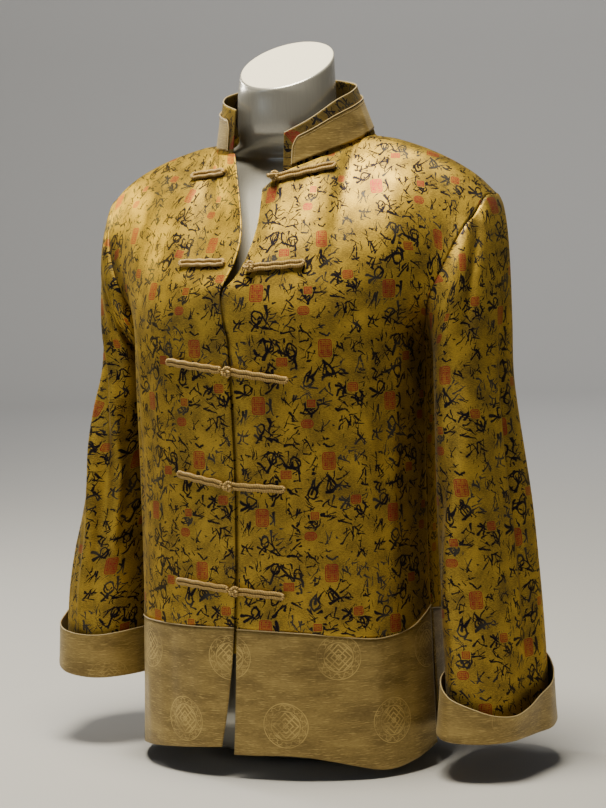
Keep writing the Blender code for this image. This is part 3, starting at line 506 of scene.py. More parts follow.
    def fine(self, grid: Array, band: bool = False) -> Array:
        """The piece's surface at the fineness it is shown at."""
        banded, below, above, across = self.fineness
        steps = [banded] * self.band_rows if band else [below] * self.lower_rows + [above] * self.upper_rows
        return refined(grid, steps, across)


@dataclass
class SleeveCut:
    """A sleeve and its turned-back cuff, drafted as rings round the arm's hollow."""

    side: Side
    rings: Array
    cuff: Array
    ring_points: int = 24
    lower_rows: int = 8
    cap_end: float = 420.0 * MM
    cap_shares: tuple[float, ...] = (0.0, 0.07, 0.2, 0.38, 0.57, 0.78, 1.0)
    start: float = 0.4 * MM
    fold_drop: float = 3.0 * MM
    cuff_clear: float = 3.6 * MM
    cuff_shares: tuple[float, ...] = (0.25, 0.6, 1.0)
    # parts that each coarse gap gets: the cap's rows, the rows below, the columns, the cuff's rows
    cap_fineness: int = 6
    lower_fineness: int = 13
    column_fineness: int = 7
    cuff_fineness: tuple[int, ...] = (3, 3, 3, 12, 12, 12)
    # long fold: heights between which it fades out, and turn, width and reach of its trough and its ridge
    fold_fade: Pair = (0.30, 0.42)
    fold_lines: tuple[Colour, ...] = ((0.44, 0.035, -7.0 * MM), (0.33, 0.06, 3.0 * MM))
    leave: Array = table(
        (0, 6, 0, -40), (.12, 30, -30, -60), (.25, 60, -50, -60), (.38, 50, -30, -50), (.5, 55, 0, -30),
        (.62, 50, 30, -50), (.75, 60, 45, -60), (.88, 30, 30, -60), (1, 6, 0, -40))
    arrive: Array = table(
        (0, 30), (.25, 160), (.5, 260), (.75, 160), (1, 30))

    @property
    def turns(self) -> Array:
        """Places round the ring, from the inner side by the front."""
        return np.arange(self.ring_points) / self.ring_points

    def ring(self, heights: Array) -> Array:
        """Points of the plain sleeve, one per turn, each at its own height."""
        heights = np.broadcast_to(np.asarray(heights, float), self.turns.shape)
        cx, cy, inner, outer, front, back = table_at(
            self.rings, np.maximum(heights, self.rings[-1, 0])).T
        angle = 2.0 * math.pi * self.turns
        lateral = np.where(np.cos(angle) > 0.0, inner, outer)
        fore = np.where(np.sin(angle) > 0.0, front, back)
        x = self.side.value * (cx - lateral * np.cos(angle))
        return np.stack([x, cy - fore * np.sin(angle), heights], axis=1)

    def folded(self, heights: Array) -> Array:
        """Points of the sleeve with its long fold."""
        reach = sum(depth * np.exp(-((self.turns - turn) / width) ** 2)
                    for turn, width, depth in self.fold_lines)
        reach = reach * (1.0 - ramp(heights, *self.fold_fade))
        return self.ring(heights) + self.outward * reach[:, None]

    @property
    def outward(self) -> Array:
        """Level direction out of the sleeve at each turn."""
        angle = 2.0 * math.pi * self.turns
        return np.stack([-self.side.value * np.cos(angle), -np.sin(angle), np.zeros_like(angle)], axis=1)

    def sleeve(self, armhole: Array) -> Array:
        """Coarse points of the sleeve from the armhole down to the cuff's fold.

        Args:
            armhole: points round the armhole from the armpit by the front.

        Returns:
            Rows of points, closed round.
        """
        turns = self.turns
        leave = table_at(self.leave, turns) * (self.side.value, 1.0, 1.0)
        arrive = np.zeros_like(leave)
        arrive[:, 2] = -table_at(self.arrive, turns)[:, 0]
        rows = hermite(armhole, self.ring(self.cap_end), leave, arrive, np.array(self.cap_shares))
        rows[0] += leave / np.linalg.norm(leave, axis=1)[:, None] * self.start
        bottom = table_at(self.cuff, turns)[:, 0] + self.fold_drop
        lower = [self.folded(self.cap_end + share * (bottom - self.cap_end))
                 for share in np.linspace(0.0, 1.0, self.lower_rows + 1)[1:]]
        return np.concatenate([rows, np.array(lower)])

    def cuff_rows(self) -> Array:
        """Coarse points of the cuff's inner face, round the fold and up to the rim."""
        fold_z, rim_z, fold_reach, rim_reach = table_at(self.cuff, self.turns).T

        def ring(height: Array, reach: Array) -> Array:
            """One ring of the cuff, level points moved out by reach."""
            row = self.folded(height) + self.outward * reach[:, None]
            row[:, 2] = height
            return row

        drop = self.fold_drop
        rows = [ring(fold_z + drop - 0.3 * MM, 0.0 * fold_reach), ring(fold_z, 0.2 * fold_reach),
                ring(fold_z - 0.3 * drop, 0.6 * fold_reach), ring(fold_z + 0.3 * drop, fold_reach)]
        for share in self.cuff_shares:
            clear = fold_reach + (np.maximum(rim_reach, self.cuff_clear) - fold_reach) * share
            rows.append(ring(fold_z + 0.3 * drop + (rim_z - fold_z) * share, clear))
        return np.array(rows)


LEFT_ARM = SleeveCut(
    Side.LEFT,
    sizes(
        (420, 207, 12, 30, 48, 70, 70), (360, 210, 10, 31, 52, 75, 75), (280, 215, 8, 34, 59, 81, 81),
        (180, 219, 7, 34, 65, 87, 87), (100, 223, 6, 33, 66, 90, 90), (20, 226, 5, 34, 66, 92, 92), keys=MM),
    sizes(
        (0, 34, 92, 6, 3), (.12, 31, 90, 13, 6), (.25, 29, 74, 13, 14), (.37, 28, 56, 11, 19),
        (.5, 29, 78, 9, 12), (.6, 31, 96, 8, 4), (.75, 33, 104, 6, 3), (.9, 34, 100, 5, 3),
        (1, 34, 92, 6, 3)))
RIGHT_ARM = SleeveCut(
    Side.RIGHT,
    sizes(
        (420, 203, 34, 24, 39, 64, 66), (360, 211, 34, 31, 45, 68, 70), (280, 223, 33, 41, 54, 73, 75),
        (180, 237, 32, 50, 63, 79, 81), (100, 241, 30, 50, 64, 83, 84),
        (20, 244, 28, 52, 65, 85, 86), keys=MM),
    sizes(
        (0, 69, 122, 5, 3), (.12, 68, 119, 10, 9), (.25, 67, 115, 10, 12), (.37, 74, 122, 9, 10),
        (.5, 96, 146, 6, 2), (.6, 102, 152, 5, 2), (.75, 96, 150, 5, 3), (.9, 80, 134, 5, 3),
        (1, 69, 122, 5, 3)))


@dataclass
class CollarCut:
    """Standing collar sewn on the neckline, and the plain overlay on its outer face."""

    body: BodyCut
    lift: float = 1.2 * MM
    left_start: float = 0.10
    right_end: float = 0.02
    shoulders: Pair = (0.3, 0.7)
    columns: int = 32
    rows: int = 3
    row_fineness: int = 8
    column_fineness: int = 6
    tuck: float = 0.06  # share of the height that goes on below the seam, behind the neckline
    overlay_rows: int = 18
    overlay_span: Pair = (0.05, 0.72)
    overlay_lift: float = 1.5 * MM
    corner: float = 0.022
    corner_drop: float = 0.35
    # share of the way round from the wearer's left front end, x, y, z
    rim: Array = table(
        (0, 34, -80, 689.5), (.1, 54, -53, 704.5), (.2, 68, -17, 723), (.3, 74, 22, 735), (.4, 56, 65, 744),
        (.5, 0, 88, 750), (.6, -56, 65, 744), (.7, -74, 20, 735), (.82, -73, -8, 728.5),
        (.92, -57, -37, 722), (1, -36, -54, 716))

    def seam(self, shares: Array) -> Array:
        """Points of the neckline, round from the wearer's left front end to the right one."""
        left, right = self.shoulders
        made = []
        for share in shares:
            if share < left:
                place = self.left_start + (0.5 - self.left_start) * share / left
                made.append(table_at(self.body.left_top, place)[0])
            elif share <= right:
                made.append(table_at(self.body.back_neck, (share - left) / (right - left))[0])
            else:
                place = 0.5 + (self.right_end - 0.5) * (share - right) / (1 - right)
                made.append(table_at(self.body.right_top, place)[0])
        return np.array(made)

    def stand(self, shares: Array, ups: Array) -> Array:
        """Points of the collar's outer face; ups is one share of the height, or a row of them, per row."""
        seam, rim = self.seam(shares), table_at(self.rim, shares)
        seam[:, 2] += self.lift
        return np.array([seam + (rim - seam) * np.reshape(up, (-1, 1)) for up in ups])

    def overlay(self) -> Array:
        """Outer face of the overlay, its upper corners rounded, lifted clear of the collar."""
        shares = np.linspace(0.0, 1.0, self.columns + 1)[1:-1]
        low, high = self.overlay_span
        fine = np.linspace(shares[0], shares[-1], (len(shares) - 1) * self.column_fineness + 1)
        near_end = np.minimum(fine - fine[0], fine[-1] - fine) / self.corner
        top = high - (high - low) * self.corner_drop * np.clip(1.0 - near_end, 0.0, 1.0) ** 2
        ups = [low + (top - low) * share for share in np.linspace(0.0, 1.0, self.overlay_rows + 1)]
        grid = self.stand(fine, ups)
        return grid + grid_normals(grid, flip=False) * self.overlay_lift


@dataclass
class Placket:
    """Strip of brocade behind the front opening."""

    body: BodyCut
    half_width: float = 14.0 * MM
    bottom: float = 124.0 * MM
    top_share: float = 0.36
    behind: float = 4.3 * MM
    columns: int = 4
    lower_rows: int = 9

    def grid(self) -> Array:
        """Points of the strip's outer face."""
        body = self.body
        across = np.linspace(-1.0, 1.0, self.columns + 1) * self.half_width
        made = []
        for height in np.linspace(self.bottom, body.armpit, self.lower_rows):
            half_width, front, back = table_at(body.sections, height)[0]
            place = across + table_at(body.front_edges, height)[0].mean()
            angle = np.arcsin((np.abs(place) / half_width) ** (body.squareness / 2.0)) * np.sign(place)
            x, y = plan_point(half_width, front, back, angle, body.squareness)
            made.append(np.stack([x, y, np.full_like(x, height)], axis=1))
        for share in (self.top_share / 3, 2 * self.top_share / 3, self.top_share):
            edge = 0.5 * (table_at(body.left_edge, share)[0] + table_at(body.right_edge, share)[0])
            y = edge[1] + 0.10 * across**2 / self.half_width
            made.append(np.stack([across + edge[0], y, np.full_like(y, edge[2])], axis=1))
        made = np.array(made)
        made = made - grid_normals(made, flip=False) * self.behind
        return refined(made, [8] * (len(made) - 1), 4)


@dataclass
class DressForm:
    """Limbless torso with a slanted neck top and a flat base."""

    squareness: float = 2.25
    columns: int = 128
    steps: int = 5
    neck_centre: Colour = (0.001, 0.005, 0.766)
    neck_half: Pair = (0.053, 0.055)
    neck_slope: float = 0.50
    rounding: float = 2.5 * MM
    rounding_rows: int = 5
    cap_shares: tuple[float, ...] = (0.97, 0.6, 0.25)
    # height, centre y, half width, front depth, back depth
    sections: Array = table(
        (-16, 4, 85, 52, 62), (-11, 4, 100, 66, 74), (4, 3, 128, 92, 96), (30, 2, 148, 110, 110),
        (80, 0, 155, 117, 117), (140, 0, 153, 117, 115), (200, 0, 143, 112, 106), (260, 0, 131, 108, 98),
        (300, 0, 128, 110, 95), (360, 0, 134, 122, 98), (420, 0, 144, 140, 102), (470, 2, 150, 146, 104),
        (515, 5, 156, 137, 102), (560, 11, 166, 116, 94), (596, 18, 176, 94, 78), (620, 24, 180, 76, 60),
        (638, 27, 174, 60, 48), (652, 28, 156, 48, 47.2), (663, 26.5, 113, 38, 44), (676, 15, 64, 46, 52),
        (695, 9, 57, 54, 54), (730, 6, 54, 55, 54), keys=MM)

    def build(self, finish: Material) -> bpy.types.Object:
        """Lofts the torso and closes it at its base and its neck top.

        Args:
            finish: the form's material.

        Returns:
            The form's object.
        """
        angles = np.linspace(0.0, 2.0 * math.pi, self.columns, endpoint=False)
        rings = []
        for height, centre, half_width, front, back in self.sections:
            x, y = plan_point(half_width, front, back, angles, self.squareness)
            rings.append(np.stack([x, y + centre, np.full_like(x, height)], axis=1))
        cx, cy, cz = self.neck_centre
        turns = np.linspace(0.0, 0.5 * math.pi, self.rounding_rows)
        for inset, drop in zip(self.rounding * (1 - np.cos(turns)), self.rounding * (1 - np.sin(turns))):
            x, y = (self.neck_half[0] - inset) * np.sin(angles), -(self.neck_half[1] - inset) * np.cos(angles)
            rings.append(np.stack([x + cx, y + cy, cz - drop + self.neck_slope * y], axis=1))
        rings = np.array(rings)
        rim = self.rounding_rows - 1
        grid = refined(rings, [self.steps] * (len(rings) - 1 - rim) + [1] * rim, 1, closed=True)[:, :-1]
        edge = grid[-1]
        inner = [edge.mean(axis=0) + (edge - edge.mean(axis=0)) * shrink for shrink in self.cap_shares]
        grid = np.concatenate([grid, inner])
        made, count, columns = [], len(grid), self.columns
        for i in range(count - 1):
            for j in range(columns):
                k = (j + 1) % columns
                made.append((i * columns + j, i * columns + k, (i + 1) * columns + k, (i + 1) * columns + j))
        made.append(tuple(range(columns))[::-1])
        made.append(tuple((count - 1) * columns + j for j in range(columns)))
        form = new_object("form_skin", grid.reshape(-1, 3) + (0.0, 0.0, STAND), made, finish)
        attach(form, BODY)
        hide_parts("dress_form")
        return form


# ---- cords and threads


def tube(name: str, lines: Sequence[tuple[Array, float, bool]], finish: Material,
         sides: int = 10) -> bpy.types.Object:
    """Round cords along lines, with a UV map of length along and turn round.

    Args:
        name: the object's name.
        lines: for each cord its points, its radius and whether it is closed.
        finish: the cord's material.
        sides: corners of the cord's section.

    Returns:
        One object that holds every cord.
    """
    points, faces, uvs = [], [], []
    for line, radius, closed in lines:
        line = np.asarray(line, float)
        ahead = np.roll(line, -1, axis=0) - np.roll(line, 1, axis=0) if closed else np.gradient(line, axis=0)
        ahead /= np.linalg.norm(ahead, axis=1)[:, None] + 1e-12
        side = np.cross(ahead[0], (0.0, 0.3, 1.0))
        frames = []
        for way in ahead:
            side = side - way * (side @ way)
            side /= np.linalg.norm(side)
            frames.append((side, np.cross(way, side)))
        base, count = len(points), len(line)
        turns = np.arange(sides) * 2.0 * math.pi / sides
        for place, (a, b) in zip(line, frames):
            points.extend(place + radius * (math.cos(t) * a + math.sin(t) * b) for t in turns)
        steps = np.linalg.norm(np.roll(line, -1, axis=0) - line, axis=1)
        run = np.concatenate([[0.0], np.cumsum(steps)])
        for i in range(count if closed else count - 1):
            n = (i + 1) % count
            for j in range(sides):
                k = (j + 1) % sides
                this, next_ring = base + i * sides, base + n * sides
                faces.append((this + j, this + k, next_ring + k, next_ring + j))
                uvs += [(run[i], j / sides), (run[i], (j + 1) / sides), (run[i + 1], (j + 1) / sides),
                        (run[i + 1], j / sides)]
        if not closed:
            for i, order in ((0, range(sides - 1, -1, -1)), (count - 1, range(sides))):
                faces.append(tuple(base + i * sides + j for j in order))
                uvs += [(run[i], 0.0)] * sides
    made = new_object(name, np.array(points), faces, finish)
    made.data.uv_layers.new(name="cord").data.foreach_set("uv", np.array(uvs).ravel())
    return made


@dataclass
class Frog:
    """One frog fastening: a doubled cord with its knotted ball, and its loop, laid on the fronts."""

    number: int
    loop_end: Pair
    loop_tip: Pair
    ball: Pair
    button_end: Pair
    cord_radius: float = 2.15 * MM
    lift: float = 0.5 * MM
    ball_reach: float = 3.0 * MM
    ball_tube: float = 1.85 * MM
    point_gap: float = 1.4 * MM
    wave: float = 0.35 * MM
    waves_per_metre: float = 410.0 / (2.0 * math.pi)
    tip_rise: float = 0.9 * MM
    tip_length: float = 3.0 * MM
    knot_swing: float = 0.62

    def lane(self, cloth: "Surface", start: Pair, end: Pair,
             round_start: bool) -> Array:
        """Centreline of the cord out from start, round at end and back, on the cloth.

        Args:
            cloth: the front that the cord is sewn on.
            start: x and z where the lanes begin.
            end: x and z of the far end.
            round_start: the cord closes round at its start too.

        Returns:
            Points of the centreline.
        """
        start, end = np.array(start), np.array(end)
        length = np.linalg.norm(end - start)
        way = (end - start) / length
        side = np.array([-way[1], way[0]])
        r = self.cord_radius
        first = r if round_start else 0.0
        count = max(4, int((length - r - first) / self.point_gap))
        out = [(s, -r) for s in np.linspace(first, length - r, count)]
        turn = [(length - r + r * math.sin(a), -r * math.cos(a)) for a in np.linspace(0.0, math.pi, 7)[1:-1]]
        path = out + turn + [(s, r) for s in np.linspace(length - r, first, count)]
        if round_start:
            path += [(r - r * math.sin(a), r * math.cos(a)) for a in np.linspace(0.0, math.pi, 7)[1:-1]]
        points = []
        for along, across in path:
            wave = self.wave * math.sin(2.0 * math.pi * self.waves_per_metre * along + 1.7 * self.number)
            x, z = start + way * along + side * (across + wave)
            point, normal = cloth.at(x, z)
            tip = self.tip_rise * math.exp(-(((length - along) / self.tip_length) ** 2))
            points.append(point + normal * (r + self.lift + tip))
        return np.array(points)

    def knot(self, cloth: "Surface") -> Array:
        """Closed centreline of the knotted ball."""
        centre, normal = cloth.at(*self.ball)
        centre = centre + normal * (self.ball_reach + self.ball_tube + 1.2 * MM)
        a = np.cross(normal, (0.0, 0.0, 1.0))
        a /= np.linalg.norm(a)
        b = np.cross(normal, a)
        t = np.linspace(0.0, 2.0 * math.pi, 72, endpoint=False)
        reach = self.ball_reach + self.knot_swing * self.ball_reach * np.cos(3 * t)
        return (centre + (reach * np.cos(2 * t))[:, None] * a + (reach * np.sin(2 * t))[:, None] * b
                + (self.knot_swing * self.ball_reach * np.sin(3 * t))[:, None] * normal)

    def build(self, left: "Surface", right: "Surface", finishes: Sequence[Material]) -> None:
        """Makes the button strap and the loop strap, each with its own finish."""
        strap = self.lane(left, self.ball, self.button_end, round_start=False)
        lines = [(strap, self.cord_radius, False), (self.knot(left), self.ball_tube, True)]
        loop = self.lane(right, self.loop_tip, self.loop_end, round_start=True)
        for word, drawn, finish in (("button", lines, finishes[0]),
                                    ("loop", [(loop, self.cord_radius, True)], finishes[1])):
            made = tube(f"{word}_{self.number}_twist", drawn, finish)
            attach(made, BODY)
            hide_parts(f"frog_{self.number}_{word}")


class Surface:
    """Outer face of a front, for laying things on it."""

    def __init__(self, grid: Array, flip: bool) -> None:
        """Keeps the face's points as a search tree."""
        rows, columns = grid.shape[:2]
        points = [Vector(p) for p in (grid + (0.0, 0.0, STAND)).reshape(-1, 3)]
        faces = [(i * columns + j, i * columns + j + 1, (i + 1) * columns + j + 1, (i + 1) * columns + j)
                 for i in range(rows - 1) for j in range(columns - 1)]
        self.tree = BVHTree.FromPolygons(points, faces)

    def at(self, x: float, z: float) -> tuple[Array, Array]:
        """Point and outward normal of the face at x and a height above the armhole's datum."""
        place, normal, _, _ = self.tree.ray_cast(Vector((x, -1.0, z + STAND)), Vector((0.0, 1.0, 0.0)))
        if place is None:
            place, normal, _, _ = self.tree.find_nearest(Vector((x, -0.17, z + STAND)))
            place = Vector((x, place.y, z + STAND))
        normal = np.array(normal)
        return np.array(place), normal if normal[1] < 0.0 else -normal


def node_group(name: str, kind: str, inputs: Sequence[tuple[str, str]], output: tuple[str, str]
               ) -> bpy.types.NodeTree:
    """A node group with its sockets.

    Args:
        name: the group's name.
        kind: Shader or Geometry.
        inputs: name and type of each input.
        output: name and type of the one output.

    Returns:
        The group, still without nodes.
    """
    tree = bpy.data.node_groups.new(name, f"{kind}NodeTree")
    for socket, what in inputs:
        tree.interface.new_socket(socket, in_out="INPUT", socket_type=f"NodeSocket{what}")
    tree.interface.new_socket(output[0], in_out="OUTPUT", socket_type=f"NodeSocket{output[1]}")
    return tree


class ThreadTree:
    """Geometry Nodes that run a round thread, or stitches, along the edges of a line."""

    SIDES = 6

    def __init__(self, stitched: bool) -> None:
        """Builds the tree.

        Args:
            stitched: short stitches in place of one unbroken thread.
        """
        self.tree = node_group(
            "stitches" if stitched else "piping", "Geometry",
            [("Line", "Geometry"), ("Radius", "Float"), ("Pitch", "Float"), ("Stitch", "Float"),
             ("Finish", "Material")], ("Thread", "Geometry"))
        new = self.tree.nodes.new
        given, out = new("NodeGroupInput"), new("NodeGroupOutput")
        line, sweep = new("GeometryNodeMeshToCurve"), new("GeometryNodeCurveToMesh")
        ring, paint = new("GeometryNodeCurvePrimitiveCircle"), new("GeometryNodeSetMaterial")
        whole, smooth = new("GeometryNodeRealizeInstances"), new("GeometryNodeSetShadeSmooth")
        ring.inputs["Resolution"].default_value = self.SIDES
        sweep.inputs["Fill Caps"].default_value = True
        wires = [(given, "Line", line, "Mesh"), (given, "Radius", ring, "Radius"),
                 (ring, "Curve", sweep, "Profile Curve")]
        if stitched:
            spaced, place = new("GeometryNodeResampleCurve"), new("GeometryNodeInstanceOnPoints")
            spaced.mode = "LENGTH"
            stitch, ahead = new("GeometryNodeCurvePrimitiveLine"), new("ShaderNodeCombineXYZ")
            tangent, turn = new("GeometryNodeInputTangent"), new("FunctionNodeAlignRotationToVector")
            turn.axis = "X"
            wires += [(given, "Stitch", ahead, "X"), (ahead, "Vector", stitch, "End"),
                      (stitch, "Curve", sweep, "Curve"), (line, "Curve", spaced, "Curve"),
                      (given, "Pitch", spaced, "Length"), (tangent, "Tangent", turn, "Vector"),
                      (turn, "Rotation", place, "Rotation"), (spaced, "Curve", place, "Points"),
                      (sweep, "Mesh", place, "Instance"), (place, "Instances", whole, "Geometry")]
        else:
            wires += [(line, "Curve", sweep, "Curve"), (sweep, "Mesh", whole, "Geometry")]
        wires += [(whole, "Geometry", smooth, "Geometry"), (smooth, "Geometry", paint, "Geometry"),
                  (given, "Finish", paint, "Material"), (paint, "Geometry", out, "Thread")]
        for start, leaving, end, entering in wires:
            self.tree.links.new(start.outputs[leaving], end.inputs[entering])

    def along(self, name: str, lines: Sequence[Array], finish: Material, radius: float,
              pitch: float = 3.0 * MM, stitch: float = 2.0 * MM, closed: bool = False) -> bpy.types.Object:
        """Runs the thread along lines of points and turns it into a plain mesh.

        Args:
            name: the object's name.
            lines: points of each line.
            finish: the thread's material.
            radius: the thread's radius.
            pitch: spacing of the stitches.
            stitch: length of a stitch.
            closed: each line runs back to its start.

        Returns:
            The thread's object.
        """
        points, edges = [], []
        for line in lines:
            base = len(points)
            points.extend(tuple(p) for p in line)
            edges.extend((base + i, base + i + 1) for i in range(len(line) - 1))
            if closed:
                edges.append((base + len(line) - 1, base))
        mesh = bpy.data.meshes.new(name)
        mesh.from_pydata(points, edges, [])
        made = bpy.data.objects.new(name, mesh)
        bpy.context.scene.collection.objects.link(made)
        nodes = made.modifiers.new("thread", "NODES")
        nodes.node_group = self.tree
        values = {"Radius": radius, "Pitch": pitch, "Stitch": stitch, "Finish": finish}
        for item in self.tree.interface.items_tree:
            if item.in_out == "INPUT" and item.name in values:
                nodes[item.identifier] = values[item.name]
        bpy.context.view_layer.update()
        depsgraph = bpy.context.evaluated_depsgraph_get()
        plain = bpy.data.meshes.new_from_object(made.evaluated_get(depsgraph))
        made.modifiers.clear()
        made.data = plain
        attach(made, BODY)
        return made


# ---- finishes


class Graph:
    """A material's or a group's nodes, with short calls for the sums that the finishes use."""

    def __init__(self, tree: bpy.types.NodeTree) -> None:
        """Wraps a node tree."""
        self.tree = tree

    def node(self, kind: str, inputs: Optional[dict] = None, **settings: object) -> bpy.types.Node:
        """Adds a node, sets its options and gives its inputs numbers or sockets."""
        made = self.tree.nodes.new(kind)
        for key, value in settings.items():
            setattr(made, key, value)
        for key, value in (inputs or {}).items():
            self.feed(made.inputs[key], value)
        return made

    def feed(self, socket: Socket, value: object) -> None:
        """Links a socket, or sets a number or colour."""
        if isinstance(value, Socket):
            self.tree.links.new(value, socket)
        else:
            socket.default_value = value

    def math(self, what: str, a: object, b: object = 0.0, c: object = 0.0) -> Socket:
        """One sum on numbers."""
        return self.node("ShaderNodeMath", {0: a, 1: b, 2: c}, operation=what).outputs[0]

    def vector(self, what: str, a: object, b: object = (0.0, 0.0, 0.0)) -> Socket:
        """One sum on vectors; a length, distance or dot product comes back as a number."""
        made = self.node("ShaderNodeVectorMath", {0: a, 1: b}, operation=what)
        return made.outputs["Value" if what in ("LENGTH", "DISTANCE", "DOT_PRODUCT") else "Vector"]

    def scaled(self, a: object, factor: object) -> Socket:
        """A vector times a number."""
        return self.node("ShaderNodeVectorMath", {0: a, "Scale": factor}, operation="SCALE").outputs["Vector"]

    # the sums used most, numbers first and then vectors
    times = partialmethod(math, "MULTIPLY")
    plus = partialmethod(math, "ADD")
    less = partialmethod(math, "SUBTRACT")
    over = partialmethod(math, "DIVIDE")
    most = partialmethod(math, "MAXIMUM")
    size = partialmethod(math, "ABSOLUTE")
    scaled_plus = partialmethod(math, "MULTIPLY_ADD")
    stretched = partialmethod(vector, "MULTIPLY")
    moved = partialmethod(vector, "ADD")
    between = partialmethod(vector, "SUBTRACT")

    def step(self, value: object, low: object, high: object, to: Pair = (0.0, 1.0)
             ) -> Socket:
        """A smooth step of a number from low to high."""
        return self.node("ShaderNodeMapRange", {0: value, 1: low, 2: high, 3: to[0], 4: to[1]},
                         interpolation_type="SMOOTHSTEP").outputs[0]

    def mix(self, share: object, a: object, b: object) -> Socket:
        """A blend of two colours."""
        made = self.node("ShaderNodeMix", data_type="RGBA")
        for socket, value in ((made.inputs[0], share), (made.inputs[6], a), (made.inputs[7], b)):
            self.feed(socket, (*value, 1.0) if isinstance(value, tuple) and len(value) == 3 else value)
        return made.outputs[2]

    def near(self, value: object, place: object, outer: float, inner: float) -> Socket:
        """A line where a number is near a place: 0 beyond outer, 1 within inner."""
        return self.step(self.size(self.less(value, place)), outer, inner)

    def emboss(self, shader: bpy.types.Node, height: Socket, strength: float, distance: float) -> None:
        """Gives a shader the relief of a height."""
        bump = self.node("ShaderNodeBump", {"Strength": strength, "Distance": distance, "Height": height})
        self.feed(shader.inputs["Normal"], bump.outputs[0])

    def cloth(self, shift: Pair) -> Socket:
        """Cloth coordinates, moved by shift."""
        return self.moved(self.node("ShaderNodeUVMap", uv_map="cloth").outputs[0], (*shift, 0.0))

    def group(self, tree: bpy.types.NodeTree, **inputs: object) -> Socket:
        """Output of a node group."""
        made = self.node("ShaderNodeGroup", node_tree=tree)
        for name, value in inputs.items():
            self.feed(made.inputs[name], value)
        return made.outputs[0]

    def noise(self, where: object, scale: float, detail: float = 2.0) -> Socket:
        """Value of a noise texture."""
        return self.node("ShaderNodeTexNoise", {"Vector": where, "Scale": scale, "Detail": detail}).outputs[0]

    def pick(self, where: object) -> bpy.types.Node:
        """Fixed random number and colour for each whole-number place."""
        return self.node("ShaderNodeTexWhiteNoise", {"Vector": where}, noise_dimensions="3D")

    def parts(self, vector: object) -> tuple[Socket, ...]:
        """The three numbers of a vector."""
        return tuple(self.node("ShaderNodeSeparateXYZ", {0: vector}).outputs)

    def join(self, x: object = 0.0, y: object = 0.0, z: object = 0.0) -> Socket:
        """A vector of three numbers."""
        return self.node("ShaderNodeCombineXYZ", {0: x, 1: y, 2: z}).outputs[0]


@dataclass(frozen=True)
class SurfaceKind:
    """Shader numbers that are the same all over a finish."""

    roughness: float = 0.5
    metallic: float = 0.0
    sheen: float = 0.0
    sheen_tint: Colour = (1.0, 1.0, 1.0)
    specular: float = 0.5
    tint: Colour = (1.0, 1.0, 1.0)


def surface_material(name: str, kind: SurfaceKind) -> tuple[Material, Graph, bpy.types.Node]:
    """A new material with its constants set.

    Args:
        name: the material's name.
        kind: the constants.

    Returns:
        The material, its nodes and its surface shader.
    """
    made = bpy.data.materials.new(name)
    made.use_nodes = True
    shader = made.node_tree.nodes["Principled BSDF"]
    shader.inputs["Roughness"].default_value = kind.roughness
    shader.inputs["Metallic"].default_value = kind.metallic
    shader.inputs["Sheen Weight"].default_value = kind.sheen
    shader.inputs["Sheen Tint"].default_value = (*kind.sheen_tint, 1.0)
    shader.inputs["Specular IOR Level"].default_value = kind.specular
    shader.inputs["Specular Tint"].default_value = (*kind.tint, 1.0)
    return made, Graph(made.node_tree), shader


def stroke_group() -> bpy.types.NodeTree:
    """Node group that inks one brush stroke between two places."""
    tree = node_group("brush_stroke", "Shader", [("Place", "Vector"), ("Start", "Vector"), ("End", "Vector"),
                                                 ("Width", "Float")], ("Ink", "Float"))
    g = Graph(tree)
    given, out = tree.nodes.new("NodeGroupInput").outputs, tree.nodes.new("NodeGroupOutput")
    reach = g.between(given["End"], given["Start"])
    local = g.between(given["Place"], given["Start"])
    share = g.over(g.vector("DOT_PRODUCT", local, reach), g.vector("DOT_PRODUCT", reach, reach))
    share = g.node("ShaderNodeClamp", {0: share}).outputs[0]
    apart = g.vector("LENGTH", g.between(local, g.scaled(reach, share)))
    width = g.times(given["Width"], g.less(1.25, g.times(share, 0.9)))
    g.feed(out.inputs[0], g.step(apart, g.times(width, 1.15), g.times(width, 0.7)))
    return tree


def seal_group() -> bpy.types.NodeTree:
    """Node group that draws a rounded frame with an abstract lattice inside."""
    tree = node_group("seal", "Shader", [("Place", "Vector"), ("Centre", "Vector"), ("Half", "Vector"),
                                         ("Corner", "Float")], ("Ink", "Float"))
    g = Graph(tree)
    given, out = tree.nodes.new("NodeGroupInput").outputs, tree.nodes.new("NodeGroupOutput")
    local = g.between(given["Place"], given["Centre"])
    corner = g.join(given["Corner"], given["Corner"], 0.0)
    past = g.moved(g.between(g.vector("ABSOLUTE", local), given["Half"]), corner)
    x, y, _ = g.parts(past)
    outside = g.vector("LENGTH", g.vector("MAXIMUM", past, (0.0, 0.0, 0.0)))
    inside = g.math("MINIMUM", g.most(x, y), 0.0)
    depth = g.less(g.plus(outside, inside), given["Corner"])
    frame_line = g.step(g.size(g.plus(depth, 0.6 * MM)), 0.56 * MM, 0.32 * MM)
    u, v, _ = g.parts(g.scaled(local, 1.0 / (2.4 * MM)))
    bars = g.most(g.math("SINE", g.times(u, 2 * math.pi)), g.math("SINE", g.scaled_plus(v, 2 * math.pi, 1.0)))
    cell = g.pick(g.vector("FLOOR", g.scaled(local, 1.0 / (1.7 * MM)))).outputs["Value"]
    lattice = g.most(g.step(g.plus(bars, g.times(cell, 0.7)), 0.95, 1.35), 0.45)
    core = g.times(g.step(depth, -1.35 * MM, -1.7 * MM), lattice)
    g.feed(out.inputs[0], g.most(frame_line, core))
    return tree


@dataclass(frozen=True)
class BrushLayer:
    """One size of brush mark: its cell, its share of filled cells, its strokes and their width."""

    cell: Pair
    filled: float
    strokes: int
    width: float
    seed: float
    curl: float = 0.0


